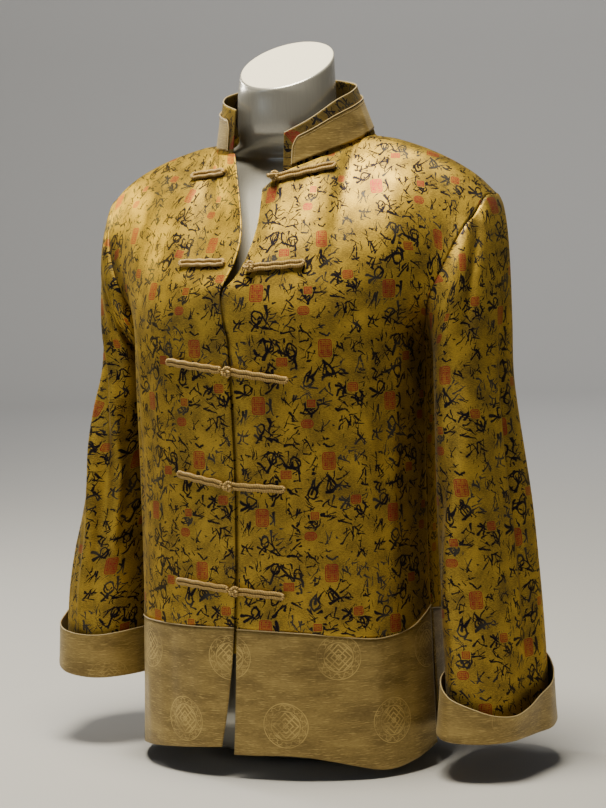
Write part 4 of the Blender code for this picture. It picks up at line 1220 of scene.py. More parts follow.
@dataclass(frozen=True)
class Brocade:
    """Gold brocade with abstract brush marks in columns and small lattice seals."""

    ground: Colour = (0.54, 0.358, 0.044)
    ground_dark: Colour = (0.16, 0.106, 0.028)
    ink: Colour = (0.007, 0.007, 0.016)
    # grey of the marks where painted sheen of their float threads shows
    ink_faded: Colour = (0.050, 0.047, 0.045)
    seal: Colour = (0.31, 0.008, 0.030)
    repeat: Pair = (0.150, 0.122)
    weave: Colour = (300.0, 1500.0, 1.0)
    weave_relief: float = 0.08 * MM
    ragged: float = 1.2 * MM
    sway: float = 0.42  # how far a mark is bent, as a share of its cell's width
    scatter: Pair = (0.98, 0.95)  # share of the cell over which a stroke's ends lie
    curl_scatter: float = 0.5
    seal_margin: float = 1.0 * MM
    kind: SurfaceKind = SurfaceKind(roughness=0.52, metallic=0.85, sheen=0.05, sheen_tint=(0.8, 0.8, 0.7),
                                    specular=0.2, tint=(1.0, 0.76, 0.28))
    layers: tuple[BrushLayer, ...] = (
        BrushLayer((0.0250, 0.0305), 0.46, 5, 1.20 * MM, 3.0, 4.8 * MM),
        BrushLayer((0.0188, 0.0203), 0.78, 5, 0.85 * MM, 11.0),
        BrushLayer((0.0107, 0.0136), 0.52, 2, 0.60 * MM, 23.0))
    # centre in the repeat, half size, corner radius
    seals: tuple[tuple[float, ...], ...] = (
        (0.030, 0.032, 0.0074, 0.0098, 0.0034), (0.105, 0.093, 0.0074, 0.0098, 0.0034),
        (0.058, 0.079, 0.0060, 0.0047, 0.0012), (0.083, 0.012, 0.0068, 0.0048, 0.0046),
        (0.088, 0.034, 0.0045, 0.0040, 0.0006), (0.134, 0.050, 0.0058, 0.0050, 0.0030))

    def marks(self, g: Graph, uv: object, layer: BrushLayer, stroke: bpy.types.NodeTree) -> Socket:
        """Ink of one layer of brush marks.

        Args:
            g: the material's nodes.
            uv: cloth coordinates.
            layer: the marks' size.
            stroke: the stroke group.

        Returns:
            Ink from 0 to 1.
        """
        w, h = layer.cell
        across = round(self.repeat[0] / w)
        up = round(self.repeat[1] / h)
        place = g.vector("DIVIDE", uv, (self.repeat[0] / across, self.repeat[1] / up, 1.0))
        column = g.math("FLOOR", g.parts(place)[0])
        stagger = g.pick(g.join(g.math("FLOORED_MODULO", column, across), layer.seed, 0.5)).outputs["Value"]
        place = g.moved(place, g.join(0.0, stagger, 0.0))
        cell = g.vector("FLOOR", place)
        x, y, _ = g.parts(cell)
        key = g.join(g.math("FLOORED_MODULO", x, across), g.math("FLOORED_MODULO", y, up), layer.seed)
        local = g.between(g.between(place, cell), (0.5, 0.5, 0.0))
        local = g.stretched(local, (w, h, 0.0))
        bend = g.node("ShaderNodeTexNoise", {"Vector": uv, "Scale": 1.4 / w, "Detail": 1.0}).outputs[1]
        local = g.moved(local, g.scaled(g.between(bend, HALF), self.sway * w))
        rough = g.node("ShaderNodeTexNoise", {"Vector": uv, "Scale": 900.0, "Detail": 1.0}).outputs[1]
        local = g.moved(local, g.scaled(g.between(rough, HALF), self.ragged))
        local = g.stretched(local, (1.0, 1.0, 0.0))
        ink: object = 0.0
        for i in range(layer.strokes):
            ends = []
            for part in (0.0, 0.5):
                drawn = g.pick(g.moved(key, (0.0, 0.0, 1.0 + i + part)))
                spot = g.stretched(g.between(drawn.outputs["Color"], HALF),
                                   (self.scatter[0] * w, self.scatter[1] * h, 0.0))
                ends.append(spot)
            width = g.times(g.plus(drawn.outputs["Value"], 0.55), layer.width)
            ink = g.most(ink, g.group(stroke, Place=local, Start=ends[0], End=ends[1], Width=width))
        if layer.curl:
            drawn = g.pick(g.moved(key, (7.0, 3.0, 0.25))).outputs["Color"]
            centre = g.stretched(g.between(drawn, HALF), (self.curl_scatter * w, self.curl_scatter * h, 0.0))
            off = g.stretched(g.between(local, centre), (1.0, 0.8, 0.0))
            ring = g.near(g.vector("LENGTH", off), layer.curl, layer.width * 0.95, layer.width * 0.55)
            ink = g.most(ink, ring)
        here = g.math("LESS_THAN", g.pick(g.moved(key, (5.0, 9.0, 0.75))).outputs["Value"], layer.filled)
        return g.times(ink, here)

    def build(self, name: str, shift: Pair = (0.0, 0.0)) -> Material:
        """Makes the material.

        Args:
            name: the material's name.
            shift: moves the pattern on the cloth.

        Returns:
            The material.
        """
        made, g, shader = surface_material(name, self.kind)
        uv = g.cloth(shift)
        stroke, seal = GROUPS["stroke"], GROUPS["seal"]
        ink: object = 0.0
        for layer in self.layers:
            ink = g.most(ink, self.marks(g, uv, layer, stroke))
        tile = g.vector("MODULO", g.moved(uv, (self.repeat[0] * FAR_TILES, self.repeat[1] * FAR_TILES, 0.0)),
                        (self.repeat[0], self.repeat[1], 1.0))
        red: object = 0.0
        for cx, cy, half_w, half_h, corner in self.seals:
            red = g.most(red, g.group(seal, Place=tile, Centre=(cx, cy, 0.0), Half=(half_w, half_h, 0.0),
                                      Corner=corner))
        clear: object = 0.0
        margin = self.seal_margin
        for cx, cy, half_w, half_h, corner in self.seals:
            off = g.vector("DIVIDE", g.between(tile, (cx, cy, 0.0)), (half_w + margin, half_h + margin, 1.0))
            x, y, _ = g.parts(g.vector("ABSOLUTE", off))
            clear = g.most(clear, g.math("LESS_THAN", g.most(x, y), 1.0))
        ink = g.times(ink, g.less(1.0, clear))
        broad = g.noise(uv, 38.0, 3.0)
        weft = g.noise(g.stretched(uv, self.weave), 1.0, 1.0)
        grain = g.noise(uv, 1300.0, 1.0)
        shade = g.scaled_plus(weft, 0.8, g.less(broad, 0.5))
        shade = g.scaled_plus(g.less(grain, 0.5), 0.9, shade)
        ground = g.mix(g.step(shade, 0.05, 0.75), self.ground_dark, self.ground)
        # random patches where the marks turn grey: painted sheen of their float threads
        painted_sheen = g.step(g.noise(uv, 21.0, 1.0), 0.50, 0.64)
        inked = g.mix(painted_sheen, self.ink, self.ink_faded)
        strength = g.times(ink, g.step(grain, 0.20, 0.50, (0.75, 1.0)))
        colour = g.mix(strength, ground, inked)
        red = g.times(red, g.step(grain, 0.2, 0.50, (0.80, 1.0)))
        colour = g.mix(red, colour, self.seal)
        g.feed(shader.inputs["Base Color"], colour)
        g.feed(shader.inputs["Roughness"], g.scaled_plus(weft, 0.22, self.kind.roughness - 0.11))
        relief = g.times(g.plus(weft, grain), self.weave_relief)
        g.emboss(shader, relief, 0.75, 1.0)
        return made


@dataclass(frozen=True)
class SlubSatin:
    """Plain tan satin with raised level slubs and woven roundels of fretwork and scrolls."""

    base: Colour = (0.375, 0.262, 0.078)
    dark: Colour = (0.155, 0.100, 0.026)
    thread: Colour = (0.62, 0.45, 0.15)
    roundel: float = 25.5 * MM
    # shares of the radius: the fret's edge inside and outside, and the scrolls' middle, swing and edges
    fret_inside: float = 0.60
    fret_share: float = 0.64
    scroll_from: float = 0.66
    scroll_share: float = 0.82
    scroll_swing: float = 0.105
    scroll_to: float = 0.98
    scrolls: float = 12.0
    knob_reach: float = 1.6 * MM
    rim_inset: float = 0.6 * MM
    fret_pitch: float = 4.1 * MM
    line: float = 0.45 * MM
    relief: float = 0.10 * MM
    repeat: Pair = (0.124, 0.150)
    first: Pair = (0.048, 0.047)
    kind: SurfaceKind = SurfaceKind(roughness=0.48, metallic=0.35, sheen=0.12, sheen_tint=(0.9, 0.8, 0.55),
                                    specular=0.35)

    def roundels(self, g: Graph, uv: object) -> Socket:
        """Gold threads of the roundels, in two staggered rows.

        Args:
            g: the material's nodes.
            uv: cloth coordinates.

        Returns:
            Share of gold thread, 0 to 1.
        """
        gold: object = 0.0
        rx, ry = self.repeat
        for row in (0.0, 0.5):
            spot = g.between(uv, (self.first[0] + (row - FAR_TILES - 0.5) * rx,
                                  self.first[1] + (row - FAR_TILES - 0.5) * ry, 0.0))
            local = g.between(g.vector("MODULO", spot, (rx, ry, 1.0)), (0.5 * rx, 0.5 * ry, 0.0))
            local = g.stretched(local, (1.0, 1.0, 0.0))
            far = g.vector("LENGTH", local)
            x, y, _ = g.parts(local)
            angle = g.math("ARCTAN2", y, x)
            radius, thin = self.roundel, self.line
            rim = g.near(far, radius - self.rim_inset, 1.5 * thin, 0.7 * thin)
            inner = g.near(far, self.fret_share * radius, 1.5 * thin, 0.7 * thin)
            wave = g.times(g.math("SINE", g.times(angle, self.scrolls)), self.scroll_swing * radius)
            off = g.less(far, self.scroll_share * radius)
            curl = g.near(off, wave, 1.3 * thin, 0.6 * thin)
            band = g.times(g.step(far, self.fret_share * radius, self.scroll_from * radius),
                           g.step(far, radius, self.scroll_to * radius))
            knob = g.near(g.size(off), self.knob_reach, 0.7 * thin, 0.3 * thin)
            turned = g.math("COSINE", g.times(angle, 2.0 * self.scrolls))
            knob = g.times(knob, g.math("GREATER_THAN", turned, 0.0))
            scroll = g.times(g.most(curl, knob), band)
            a = g.times(g.plus(x, y), 0.7071 / self.fret_pitch)
            b = g.times(g.less(x, y), 0.7071 / self.fret_pitch)
            nest = g.most(g.size(a), g.size(b))
            frets = g.near(g.math("FRACT", nest), 0.5, 0.20, 0.11)
            bars = g.step(g.math("MINIMUM", g.size(a), g.size(b)), 0.17, 0.10)
            within = g.step(far, self.fret_share * radius, self.fret_inside * radius)
            fret = g.times(g.most(frets, bars), within)
            here = g.most(g.most(rim, inner), g.most(scroll, fret))
            gold = g.most(gold, here)
        return gold

    def build(self, name: str, figured: float = 0.0, shift: Pair = (0.0, 0.0)) -> Material:
        """Makes the material.

        Args:
            name: the material's name.
            figured: strength of the roundels, 0 for none.
            shift: moves the pattern on the cloth.

        Returns:
            The material.
        """
        made, g, shader = surface_material(name, self.kind)
        uv = g.cloth(shift)
        fine = g.noise(g.stretched(uv, (240.0, 1700.0, 1.0)), 1.0, 2.0)
        slub = g.noise(g.stretched(uv, (70.0, 900.0, 1.0)), 1.0, 2.0)
        broad = g.noise(g.stretched(uv, (18.0, 60.0, 1.0)), 1.0, 2.0)
        shade = g.step(g.scaled_plus(broad, 0.7, g.times(fine, 0.5)), 0.35, 0.85)
        colour = g.mix(shade, self.dark, self.base)
        streak = g.times(g.step(slub, 0.55, 0.70), 0.55)
        colour = g.mix(streak, colour, self.thread)
        height = g.scaled_plus(slub, self.relief, g.times(fine, self.relief))
        if figured:
            gold = self.roundels(g, uv)
            worn = g.step(g.noise(uv, 30.0, 2.0), 0.30, 0.60, (0.12 * figured, 0.80 * figured))
            colour = g.mix(g.times(gold, worn), colour, self.thread)
            height = g.scaled_plus(gold, self.relief, height)
        g.feed(shader.inputs["Base Color"], colour)
        g.emboss(shader, height, 0.7, 1.0)
        return made


@dataclass(frozen=True)
class TwistedCord:
    """Tan cord whose strands run round it."""

    light: Colour = (0.52, 0.345, 0.105)
    dark: Colour = (0.18, 0.10, 0.022)
    pitch: float = 5.5 * MM
    strand: float = 0.38
    fuzz: float = 0.8
    kind: SurfaceKind = SurfaceKind(roughness=0.55, metallic=0.2, sheen=0.05, sheen_tint=(1.0, 0.85, 0.5))

    def build(self, name: str) -> Material:
        """Makes the material."""
        made, g, shader = surface_material(name, self.kind)
        along, turn, _ = g.parts(g.node("ShaderNodeUVMap", uv_map="cord").outputs[0])
        wave = g.math("SINE", g.times(g.plus(g.over(along, self.pitch / 3), turn), 2 * math.pi))
        here = g.node("ShaderNodeTexCoord").outputs["Object"]
        level = g.scaled_plus(wave, self.strand, g.scaled_plus(g.noise(here, 1500.0, 2.0), self.fuzz, 0.1))
        # colour follows the twist's relief: painted shade darkens the grooves between the strands, with
        # random fuzz
        colour = g.mix(g.step(level, 0.0, 0.75), self.dark, self.light)
        g.feed(shader.inputs["Base Color"], colour)
        g.emboss(shader, level, 0.9, 0.6 * MM)
        return made


@dataclass(frozen=True)
class Thread:
    """Pale gold thread of pipings and stitches."""

    light: Colour = (0.44, 0.33, 0.13)
    dark: Colour = (0.26, 0.185, 0.07)
    kind: SurfaceKind = SurfaceKind(roughness=0.5, sheen=0.3)

    def build(self, name: str) -> Material:
        """Makes the material."""
        made, g, shader = surface_material(name, self.kind)
        here = g.node("ShaderNodeTexCoord").outputs["Object"]
        g.feed(shader.inputs["Base Color"], g.mix(g.noise(here, 900.0, 1.0), self.dark, self.light))
        return made


@dataclass(frozen=True)
class FormSkin:
    """Silvery satin skin of the dress form, cream on its neck top."""

    base: Colour = (0.50, 0.485, 0.43)
    streak: Colour = (0.40, 0.39, 0.35)
    top: Colour = (0.82, 0.76, 0.60)
    flat_from: float = 0.733  # height above which a level face is the neck's top
    brushing: Colour = (700.0, 700.0, 14.0)
    top_roughness: float = 0.3
    kind: SurfaceKind = SurfaceKind(roughness=0.27, metallic=0.55, specular=0.5)

    def build(self, name: str) -> Material:
        """Makes the material."""
        made, g, shader = surface_material(name, self.kind)
        here = g.node("ShaderNodeTexCoord").outputs["Object"]
        _, _, up = g.parts(g.node("ShaderNodeNewGeometry").outputs["Normal"])
        brushed = g.noise(g.stretched(here, self.brushing), 1.0, 2.0)
        colour = g.mix(brushed, self.streak, self.base)
        flat = g.times(g.step(up, 0.75, 0.86), g.math("GREATER_THAN", g.parts(here)[2], self.flat_from))
        g.feed(shader.inputs["Base Color"], g.mix(flat, colour, self.top))
        g.feed(shader.inputs["Metallic"], g.less(self.kind.metallic, g.times(flat, self.kind.metallic)))
        g.feed(shader.inputs["Roughness"], g.scaled_plus(flat, self.top_roughness, self.kind.roughness))
        g.emboss(shader, brushed, 0.25, 0.2 * MM)
        return made


GROUPS: dict[str, bpy.types.NodeTree] = {}


class Finish(Enum):
    """The finishes, each made once for a material slot."""

    BROCADE = Brocade()
    # the collar's copy of the brocade, its ground painted darker all over: painted shade
    SHADED_BROCADE = Brocade(ground=(0.27, 0.185, 0.050), ground_dark=(0.10, 0.070, 0.026))
    SATIN = SlubSatin()
    CORD = TwistedCord()
    THREAD = Thread()
    SKIN = FormSkin()


# ---- the jacket


LEFT_CREASES = creases(
        (1.3, 9, 12, 470, 16, 400, 14, 330, 18, 250), (2.2, 12, 150, 500, 152, 450, 148, 380, 150, 290),
        (-1.8, 13, 120, 450, 112, 380, 116, 300), (-1.5, 11, 175, 540, 150, 500, 105, 470),
        (1.2, 16, 60, 260, 66, 210, 60, 160), (1.8, 10, 196, 460, 186, 360, 180, 250, 184, 170))
RIGHT_CREASES = creases(
        (1.8, 12, -160, 510, -150, 440, -155, 350), (-1.5, 13, -120, 460, -128, 380, -120, 290),
        (-1.3, 11, -170, 540, -140, 495, -100, 475), (2.6, 7, -186, 470, -190, 350, -187, 200),
        (-2.2, 7, -171, 450, -174, 340, -171, 220), (1.1, 15, -60, 270, -68, 210, -64, 165))
BACK_CREASES = creases(
        (2.4, 15, 90, 560, 80, 460, 88, 330, 82, 200), (-2.2, 16, -80, 570, -92, 450, -84, 320, -90, 190),
        (1.8, 12, -150, 520, -110, 475, -30, 462), (-1.7, 12, 150, 530, 105, 480, 50, 470),
        (1.5, 20, 10, 440, 4, 330, 12, 200), (-1.2, 9, 40, 610, 0, 600, -45, 612))
BAND_CREASES = {
    Side.LEFT: creases(
        (2.6, 13, 60, 170, 64, 100, 60, 5), (-2.6, 14, 105, 170, 110, 100, 104, 0),
        (2.2, 12, 150, 180, 154, 110, 150, 0), (-1.6, 11, 190, 180, 194, 110, 192, 0)),
    Side.RIGHT: creases(
        (2, 13, -50, 165, -52, 100, -48, 10), (-2.2, 15, -95, 165, -100, 90, -94, 5),
        (2, 13, -140, 170, -144, 100, -140, 5)),
    "back": creases(
        (-2.2, 14, 150, 160, 154, 80, 148, -5), (2.4, 15, 95, 160, 90, 80, 96, -5),
        (-2, 17, 30, 160, 34, 80, 28, -5), (2.2, 16, -40, 160, -36, 80, -42, -5),
        (-2.4, 14, -105, 160, -110, 80, -104, -5))}
SLEEVE_CREASES = {
    Side.LEFT: creases(
        (3.2, 7, -30, 500, -31, 400, -34, 250, -40, 110),
        (-5.5, 6.5, -14, 480, -17, 400, -19, 250, -22, 100), (2.5, 12, 14, 420, 16, 300, 14, 150),
        (3.4, 13, -52, 500, -72, 380, -108, 260, -143, 150),
        (-3.2, 12, -88, 440, -104, 340, -138, 240, -165, 160), (-4.5, 9, -52, 600, -74, 530, -80, 455),
        (-2.4, 13, -58, 330, -70, 240, -82, 140), (-3, 12, 60, 540, 66, 420, 60, 260),
        (3, 13, 100, 460, 96, 330, 104, 180)),
    Side.RIGHT: creases(
        (10.5, 7.5, 18, 500, 33, 427, 79, 294, 97, 219, 104, 110),
        (8, 7, 45, 520, 62, 427, 113, 294, 128, 210), (-4, 8, 46, 460, 70, 380, 97, 290, 114, 190),
        (-4.5, 11, 30, 380, 48, 294, 64, 210, 70, 130), (2.6, 5, 58, 270, 64, 200, 70, 120),
        (-5, 12, 96, 530, 116, 450, 146, 370), (-3.2, 12, -30, 520, -36, 400, -30, 240),
        (3, 13, -80, 500, -84, 360, -78, 220))}
OVERLAY_CREASES = creases(
        (.7, 5, -190, 700, -160, 712, -130, 708), (-.6, 5, -170, 690, -130, 696, -100, 705),
        (.6, 5, 120, 720, 150, 712, 180, 716))


# each piped piece's piping: name, lift off the cloth's face, radius
PIPINGS = {
    "band_left_shell": ("band_left_shell_piping", 0.25 * MM, 0.65 * MM),
    "band_right_shell": ("band_right_shell_piping", 0.25 * MM, 0.65 * MM),
    "band_back_shell": ("band_back_shell_piping", 0.25 * MM, 0.65 * MM),
    "cuff_left_shell": ("cuff_left_shell_piping", -0.6 * MM, 0.75 * MM),
    "cuff_right_shell": ("cuff_right_shell_piping", -0.6 * MM, 0.75 * MM),
    "collar_shell": ("collar_piping", -0.5 * MM, 0.7 * MM)}
OVERLAY_PIPING_RADIUS = 0.6 * MM
STITCH_LIFT = 0.15 * MM
STITCH = (0.22 * MM, 2.6 * MM, 1.7 * MM)  # radius, pitch and length


@dataclass
class Frogs:
    """The five frogs' places on the fronts: loop end, loop tip, ball and button end, each x and height."""

    places: Array = table(
        (-96, 642, -50, 648, 27, 640, 80, 652), (-74, 548.5, -15, 550, 20, 545, 75, 549),
        (-80, 444, -12.5, 436.5, -3, 435, 62.5, 425.5), (-71, 320.5, -16.3, 311.5, -6.8, 310, 55.5, 307.5),
        (-76, 202, -12.5, 196.5, -3, 195, 52, 191), keys=MM)

    def build(self, left: Surface, right: Surface) -> None:
        """Lays every frog on the fronts."""
        for number, row in enumerate(self.places, start=1):
            ends = [tuple(row[i:i + 2]) for i in range(0, 8, 2)]
            finishes = [Finish.CORD.value.build(f"cord_{word}_{number}") for word in ("button", "loop")]
            Frog(number, *ends).build(left, right, finishes)


@dataclass(frozen=True)
class Spread:
    """How a cloth piece is held, what it rests on, and its material slot."""

    held: str
    rests_on: tuple[str, ...]
    slot: str


class Jacket:
    """Every cloth piece, thread and cord of the jacket."""

    def __init__(self) -> None:
        """Drafts the pieces."""
        self.cut = BodyCut()
        self.collar = CollarCut(self.cut)
        self.coarse = {side: self.cut.front(side) for side in Side}
        self.back = self.cut.back()
        self.drawn: dict[str, ClothPiece] = {}
        self.made: dict[str, bpy.types.Object] = {}
        self.spreads: dict[str, tuple[Spread, Pair]] = {}
        self.trims: dict[str, list[str]] = {}

    def add(self, piece: ClothPiece, spread: Spread, finish: Material) -> ClothPiece:
        made = piece.make(finish)
        self.drawn[piece.name], self.made[piece.name] = piece, made
        width = float(np.linalg.norm(np.diff(piece.grid, axis=1), axis=2).sum(axis=1).max())
        length = float(np.linalg.norm(np.diff(piece.grid, axis=0), axis=2).sum(axis=0).max())
        LOG.info("%s: cut %.0f by %.0f mm, %.4f m2", piece.name, width / MM, length / MM, piece.area())
        self.spreads[piece.name] = (spread, (width, length))
        return piece

    def armhole(self, side: Side) -> Array:
        """Coarse points round an armhole, from the armpit up the front and down the back."""
        back = self.back[self.cut.lower_rows:, 0 if side is Side.LEFT else -1]
        return np.concatenate([self.coarse[side][self.cut.lower_rows:, -1], back[-2:0:-1]])

    def build_body(self) -> None:
        """Fronts, back and their plain bands."""
        cut = self.cut
        for side, folds in ((Side.LEFT, LEFT_CREASES), (Side.RIGHT, RIGHT_CREASES)):
            flip = side is Side.RIGHT
            grid = cut.fine(self.coarse[side])
            uv = cloth_uv(grid, 0, side.value, grid[:, 0, 0])
            self.add(ClothPiece(f"front_{side.word}_shell", f"front_{side.word}", grid, uv, flip=flip,
                                creases=folds),
                     Spread("draped", ("form_skin",), f"front_brocade_{side.word}"),
                     Finish.BROCADE.value.build(f"front_brocade_{side.word}", (0.0, 0.0)))
            columns = 2 * cut.shoulder_columns
            rows = cut.front_rows(side, cut.heights(cut.levels(side), columns, band=True))
            band = cut.fine(rows, band=True)
            uv = cloth_uv(band, 0, side.value, band[:, 0, 0])
            self.add(ClothPiece(f"band_{side.word}_shell", f"hem_band_front_{side.word}", band, uv, flip=flip,
                                creases=BAND_CREASES[side]),
                     Spread("hung", (f"front_{side.word}_shell",), f"band_satin_{side.word}"),
                     Finish.SATIN.value.build(f"band_satin_{side.word}", figured=1.0))
        grid = cut.fine(self.back)
        middle = grid.shape[1] // 2
        self.add(ClothPiece("back_shell", "back", grid, cloth_uv(grid, middle, 1.0), creases=BACK_CREASES),
                 Spread("draped", ("form_skin",), "back_brocade"),
                 Finish.BROCADE.value.build("back_brocade", (0.02, 0.03)))
        columns = 2 * cut.shoulder_columns + cut.neck_columns
        band = cut.fine(cut.back_rows(cut.heights(cut.back_levels, columns, band=True)), band=True)
        self.add(ClothPiece("band_back_shell", "hem_band_back", band, cloth_uv(band, middle, 1.0),
                            creases=BAND_CREASES["back"]),
                 Spread("hung", ("back_shell",), "band_satin_back"),
                 Finish.SATIN.value.build("band_satin_back", figured=1.0))

    def build_sleeves(self) -> None:
        """Sleeves and turned-back cuffs."""
        for arm, folds in ((LEFT_ARM, SLEEVE_CREASES[Side.LEFT]), (RIGHT_ARM, SLEEVE_CREASES[Side.RIGHT])):
            word, flip = arm.side.word, arm.side is Side.LEFT
            rows = arm.sleeve(self.armhole(arm.side))
            steps = [arm.cap_fineness] * (len(arm.cap_shares) - 1) + [arm.lower_fineness] * arm.lower_rows
            grid = refined(rows, steps, arm.column_fineness, closed=True)
            middle = grid.shape[1] // 2
            self.add(ClothPiece(f"sleeve_{word}_shell", f"sleeve_{word}", grid,
                                cloth_uv(grid, middle, arm.side.value), closed=True, flip=flip,
                                creases=folds),
                     Spread("hung", (f"front_{word}_shell", "back_shell"), f"sleeve_brocade_{word}"),
                     Finish.BROCADE.value.build(f"sleeve_brocade_{word}", (0.05, 0.04 if flip else 0.09)))
            cuff = refined(arm.cuff_rows(), arm.cuff_fineness, arm.column_fineness, closed=True)
            self.add(ClothPiece(f"cuff_{word}_shell", f"cuff_{word}", cuff,
                                cloth_uv(cuff, middle, arm.side.value), closed=True, flip=not flip),
                     Spread("folded", (f"sleeve_{word}_shell",), f"cuff_satin_{word}"),
                     Finish.SATIN.value.build(f"cuff_satin_{word}", figured=0.3, shift=(0.01, -0.03)))

    def build_neck(self) -> None:
        """Collar, its plain overlay and the strip behind the opening."""
        collar = self.collar
        shares = np.linspace(0.0, 1.0, collar.columns + 1)
        coarse = collar.stand(shares, np.linspace(-collar.tuck, 1.0, collar.rows + 1))
        grid = refined(coarse, [collar.row_fineness] * collar.rows, collar.column_fineness)
        middle = grid.shape[1] // 2
        uv = cloth_uv(grid, middle, 1.0)
        self.add(ClothPiece("collar_shell", "collar", grid, uv),
                 Spread("draped", ("front_left_shell", "front_right_shell", "back_shell", "form_skin"),
                        "collar_brocade"),
                 Finish.SHADED_BROCADE.value.build("collar_brocade", (0.03, 0.02)))
        grid = collar.overlay()
        self.add(ClothPiece("overlay_shell", "collar_overlay", grid, cloth_uv(grid, grid.shape[1] // 2, 1.0),
                            wall=1.1 * MM, creases=OVERLAY_CREASES),
                 Spread("laid", ("collar_shell",), "overlay_satin"),
                 Finish.SATIN.value.build("overlay_satin"))
        grid = Placket(self.cut).grid()
        self.add(ClothPiece("placket_shell", "under_placket", grid, cloth_uv(grid, grid.shape[1] // 2, 1.0)),
                 Spread("laid", ("form_skin",), "placket_brocade"),
                 Finish.BROCADE.value.build("placket_brocade", (0.0, 0.0)))

    def edge(self, name: str, lift: float) -> Array:
        """Points along the last row of a piece, lifted off its face."""
        piece = self.drawn[name]
        normals = grid_normals(piece.grid, piece.flip, piece.closed)
        return (piece.grid[-1] + normals[-1] * lift) + (0.0, 0.0, STAND)

    def build_threads(self) -> None:
        """Pipings along seams and rims, and the stitches of the collar overlay."""
        piping, stitches = ThreadTree(stitched=False), ThreadTree(stitched=True)
        finish = Finish.THREAD.value.build("thread")
        for name, (drawn, lift, radius) in PIPINGS.items():
            closed = self.drawn[name].closed
            line = self.edge(name, lift)
            made = piping.along(drawn, [line[:-1] if closed else line], finish, radius, closed=closed)
            self.trims[name] = [made.name]
        grid = self.drawn["overlay_shell"]
        normals = grid_normals(grid.grid, False)
        face = grid.grid + normals * STITCH_LIFT + (0.0, 0.0, STAND)
        border = np.concatenate([face[:, 0], face[-1, 1:-1], face[::-1, -1]])
        inner = np.concatenate([face[:-2, 2], face[-3, 3:-3], face[:-2][::-1, -3]])
        made = (piping.along("overlay_piping", [border], finish, OVERLAY_PIPING_RADIUS),
                stitches.along("overlay_stitches", [inner], finish, *STITCH))
        self.trims["overlay_shell"] = [one.name for one in made]

    def declare(self) -> None:
        """Works out each cloth piece's area, the smaller of its shell's area and its flat cut's."""
        for name, (spread, flat) in self.spreads.items():
            area = min(self.drawn[name].area(), flat[0] * flat[1])

    def build(self) -> None:
        """Makes the jacket piece by piece."""
        self.build_body()
        self.build_sleeves()
        self.build_neck()
        self.build_threads()
        fronts = [Surface(self.drawn[f"front_{side.word}_shell"].grid, side is Side.RIGHT) for side in Side]
        Frogs().build(*fronts)
        self.declare()


# ---- the studio


@dataclass(frozen=True)
class Lamp:
    """An area light that looks at a point."""

    name: str
    place: Colour
    towards: Colour
    size: float
    power: float
    colour: Colour = (1.0, 1.0, 1.0)

    def build(self) -> None:
        """Adds the light."""
        data = bpy.data.lights.new(self.name, "AREA")
        data.shape, data.size, data.energy, data.color = "DISK", self.size, self.power, self.colour
        made = bpy.data.objects.new(self.name, data)
        bpy.context.scene.collection.objects.link(made)
        made.location = self.place
        way = Vector(self.towards) - Vector(self.place)
        made.rotation_euler = way.to_track_quat("-Z", "Y").to_euler()


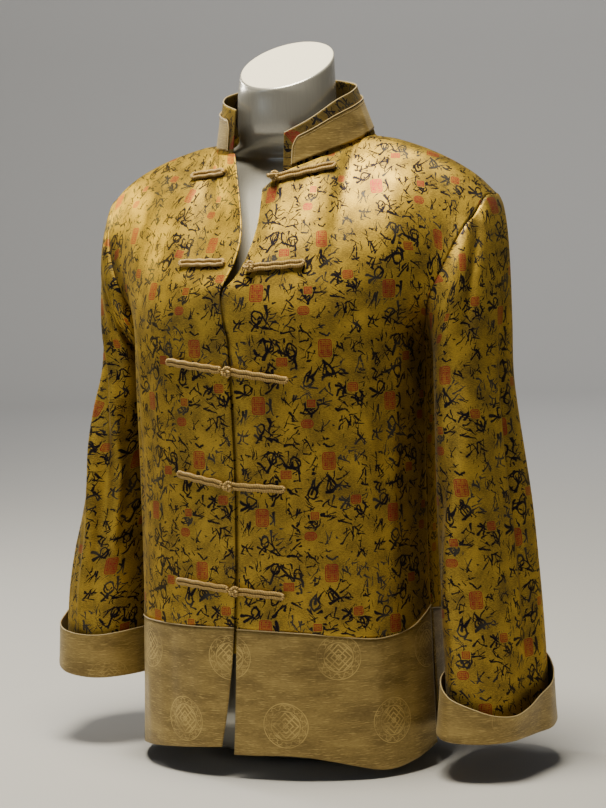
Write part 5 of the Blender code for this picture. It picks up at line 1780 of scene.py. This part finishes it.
@dataclass(frozen=True)
class Studio:
    """Camera, lights, pale floor and the wall behind it."""

    azimuth: float = math.radians(24.11)
    distance: float = 2.92786
    height: float = 0.68978
    pitch: float = 0.0989724
    roll: float = 0.0261799
    aside: float = 11.0 * MM
    lens: float = 115.45
    sensor: float = 36.0
    world: Colour = (0.76, 0.81, 0.90)
    world_strength: float = 0.06
    floor_colour: Colour = (0.46, 0.455, 0.45)
    floor_reach: float = 4.2
    wall_top: float = 3.6
    lamps: tuple[Lamp, ...] = (
        Lamp("key", (-0.05, -0.37, 2.50), (0.0, -0.05, 0.55), 1.0, 122.0, (1.0, 0.93, 0.76)),
        Lamp("front", (-1.6, -2.6, 1.0), (0.0, 0.0, 0.35), 0.8, 4.0, (0.62, 0.78, 1.0)),
        Lamp("side", (-1.7, 0.5, 1.35), (-0.2, 0.0, 0.35), 0.4, 22.0, (1.0, 0.95, 0.84)),
        Lamp("wall", (-0.6, 2.6, 2.9), (-1.4, 4.6, 0.8), 1.6, 60.0))

    def build_camera(self) -> None:
        """Places the camera as the photograph was taken."""
        right = Vector((math.cos(self.azimuth), math.sin(self.azimuth), 0.0))
        level = Vector((-right.y, right.x, 0.0))
        ahead = level * math.cos(self.pitch) - Vector((0.0, 0.0, math.sin(self.pitch)))
        up = right.cross(ahead)
        c, s = math.cos(self.roll), math.sin(self.roll)
        turned = Matrix((c * right - s * up, c * up + s * right, -ahead)).transposed()
        place = -self.distance * level + Vector((0.0, 0.0, self.height)) + self.aside * right
        data = bpy.data.cameras.new("camera")
        data.lens, data.sensor_width = self.lens, self.sensor
        made = bpy.data.objects.new("camera", data)
        bpy.context.scene.collection.objects.link(made)
        made.matrix_world = Matrix.Translation(place) @ turned.to_4x4()
        bpy.context.scene.camera = made

    def build_floor(self) -> None:
        """A round level floor whose rim curves up all round."""
        rings = [(0.05, 0.0), (1.5, 0.0), (self.floor_reach, 0.0)]
        rings += [(self.floor_reach + math.sin(a), 1.0 - math.cos(a))
                  for a in np.linspace(0.1, 0.5 * math.pi, 12)]
        rings += [(self.floor_reach + 1.0, self.wall_top)]
        turns = np.linspace(0.0, 2.0 * math.pi, 96, endpoint=False)
        points = np.array([[(r * math.cos(t), r * math.sin(t), z) for t in turns] for r, z in rings])
        n = len(turns)
        faces = [(i * n + j, (i + 1) * n + j, (i + 1) * n + (j + 1) % n, i * n + (j + 1) % n)
                 for i in range(len(rings) - 1) for j in range(n)]
        finish, _, shader = surface_material("floor_paint", SurfaceKind(roughness=0.8, specular=0.2))
        shader.inputs["Base Color"].default_value = (*self.floor_colour, 1.0)
        new_object("floor", points.reshape(-1, 3), faces + [tuple(range(n))], finish)

    def build(self) -> None:
        """Builds the studio round the jacket."""
        world = bpy.data.worlds.new("soft_room")
        world.use_nodes = True
        sky = world.node_tree.nodes["Background"]
        sky.inputs["Color"].default_value = (*self.world, 1.0)
        sky.inputs["Strength"].default_value = self.world_strength
        bpy.context.scene.world = world
        for lamp in self.lamps:
            lamp.build()
        self.build_camera()
        self.build_floor()


def main() -> None:
    """Builds the form, the jacket and the studio."""
    logging.basicConfig(level=logging.INFO, format="%(message)s")
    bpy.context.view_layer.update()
    GROUPS["stroke"], GROUPS["seal"] = stroke_group(), seal_group()
    form = DressForm().build(Finish.SKIN.value.build("form_satin"))
    Jacket().build()
    Studio().build()


if __name__ == "__main__":
    main()
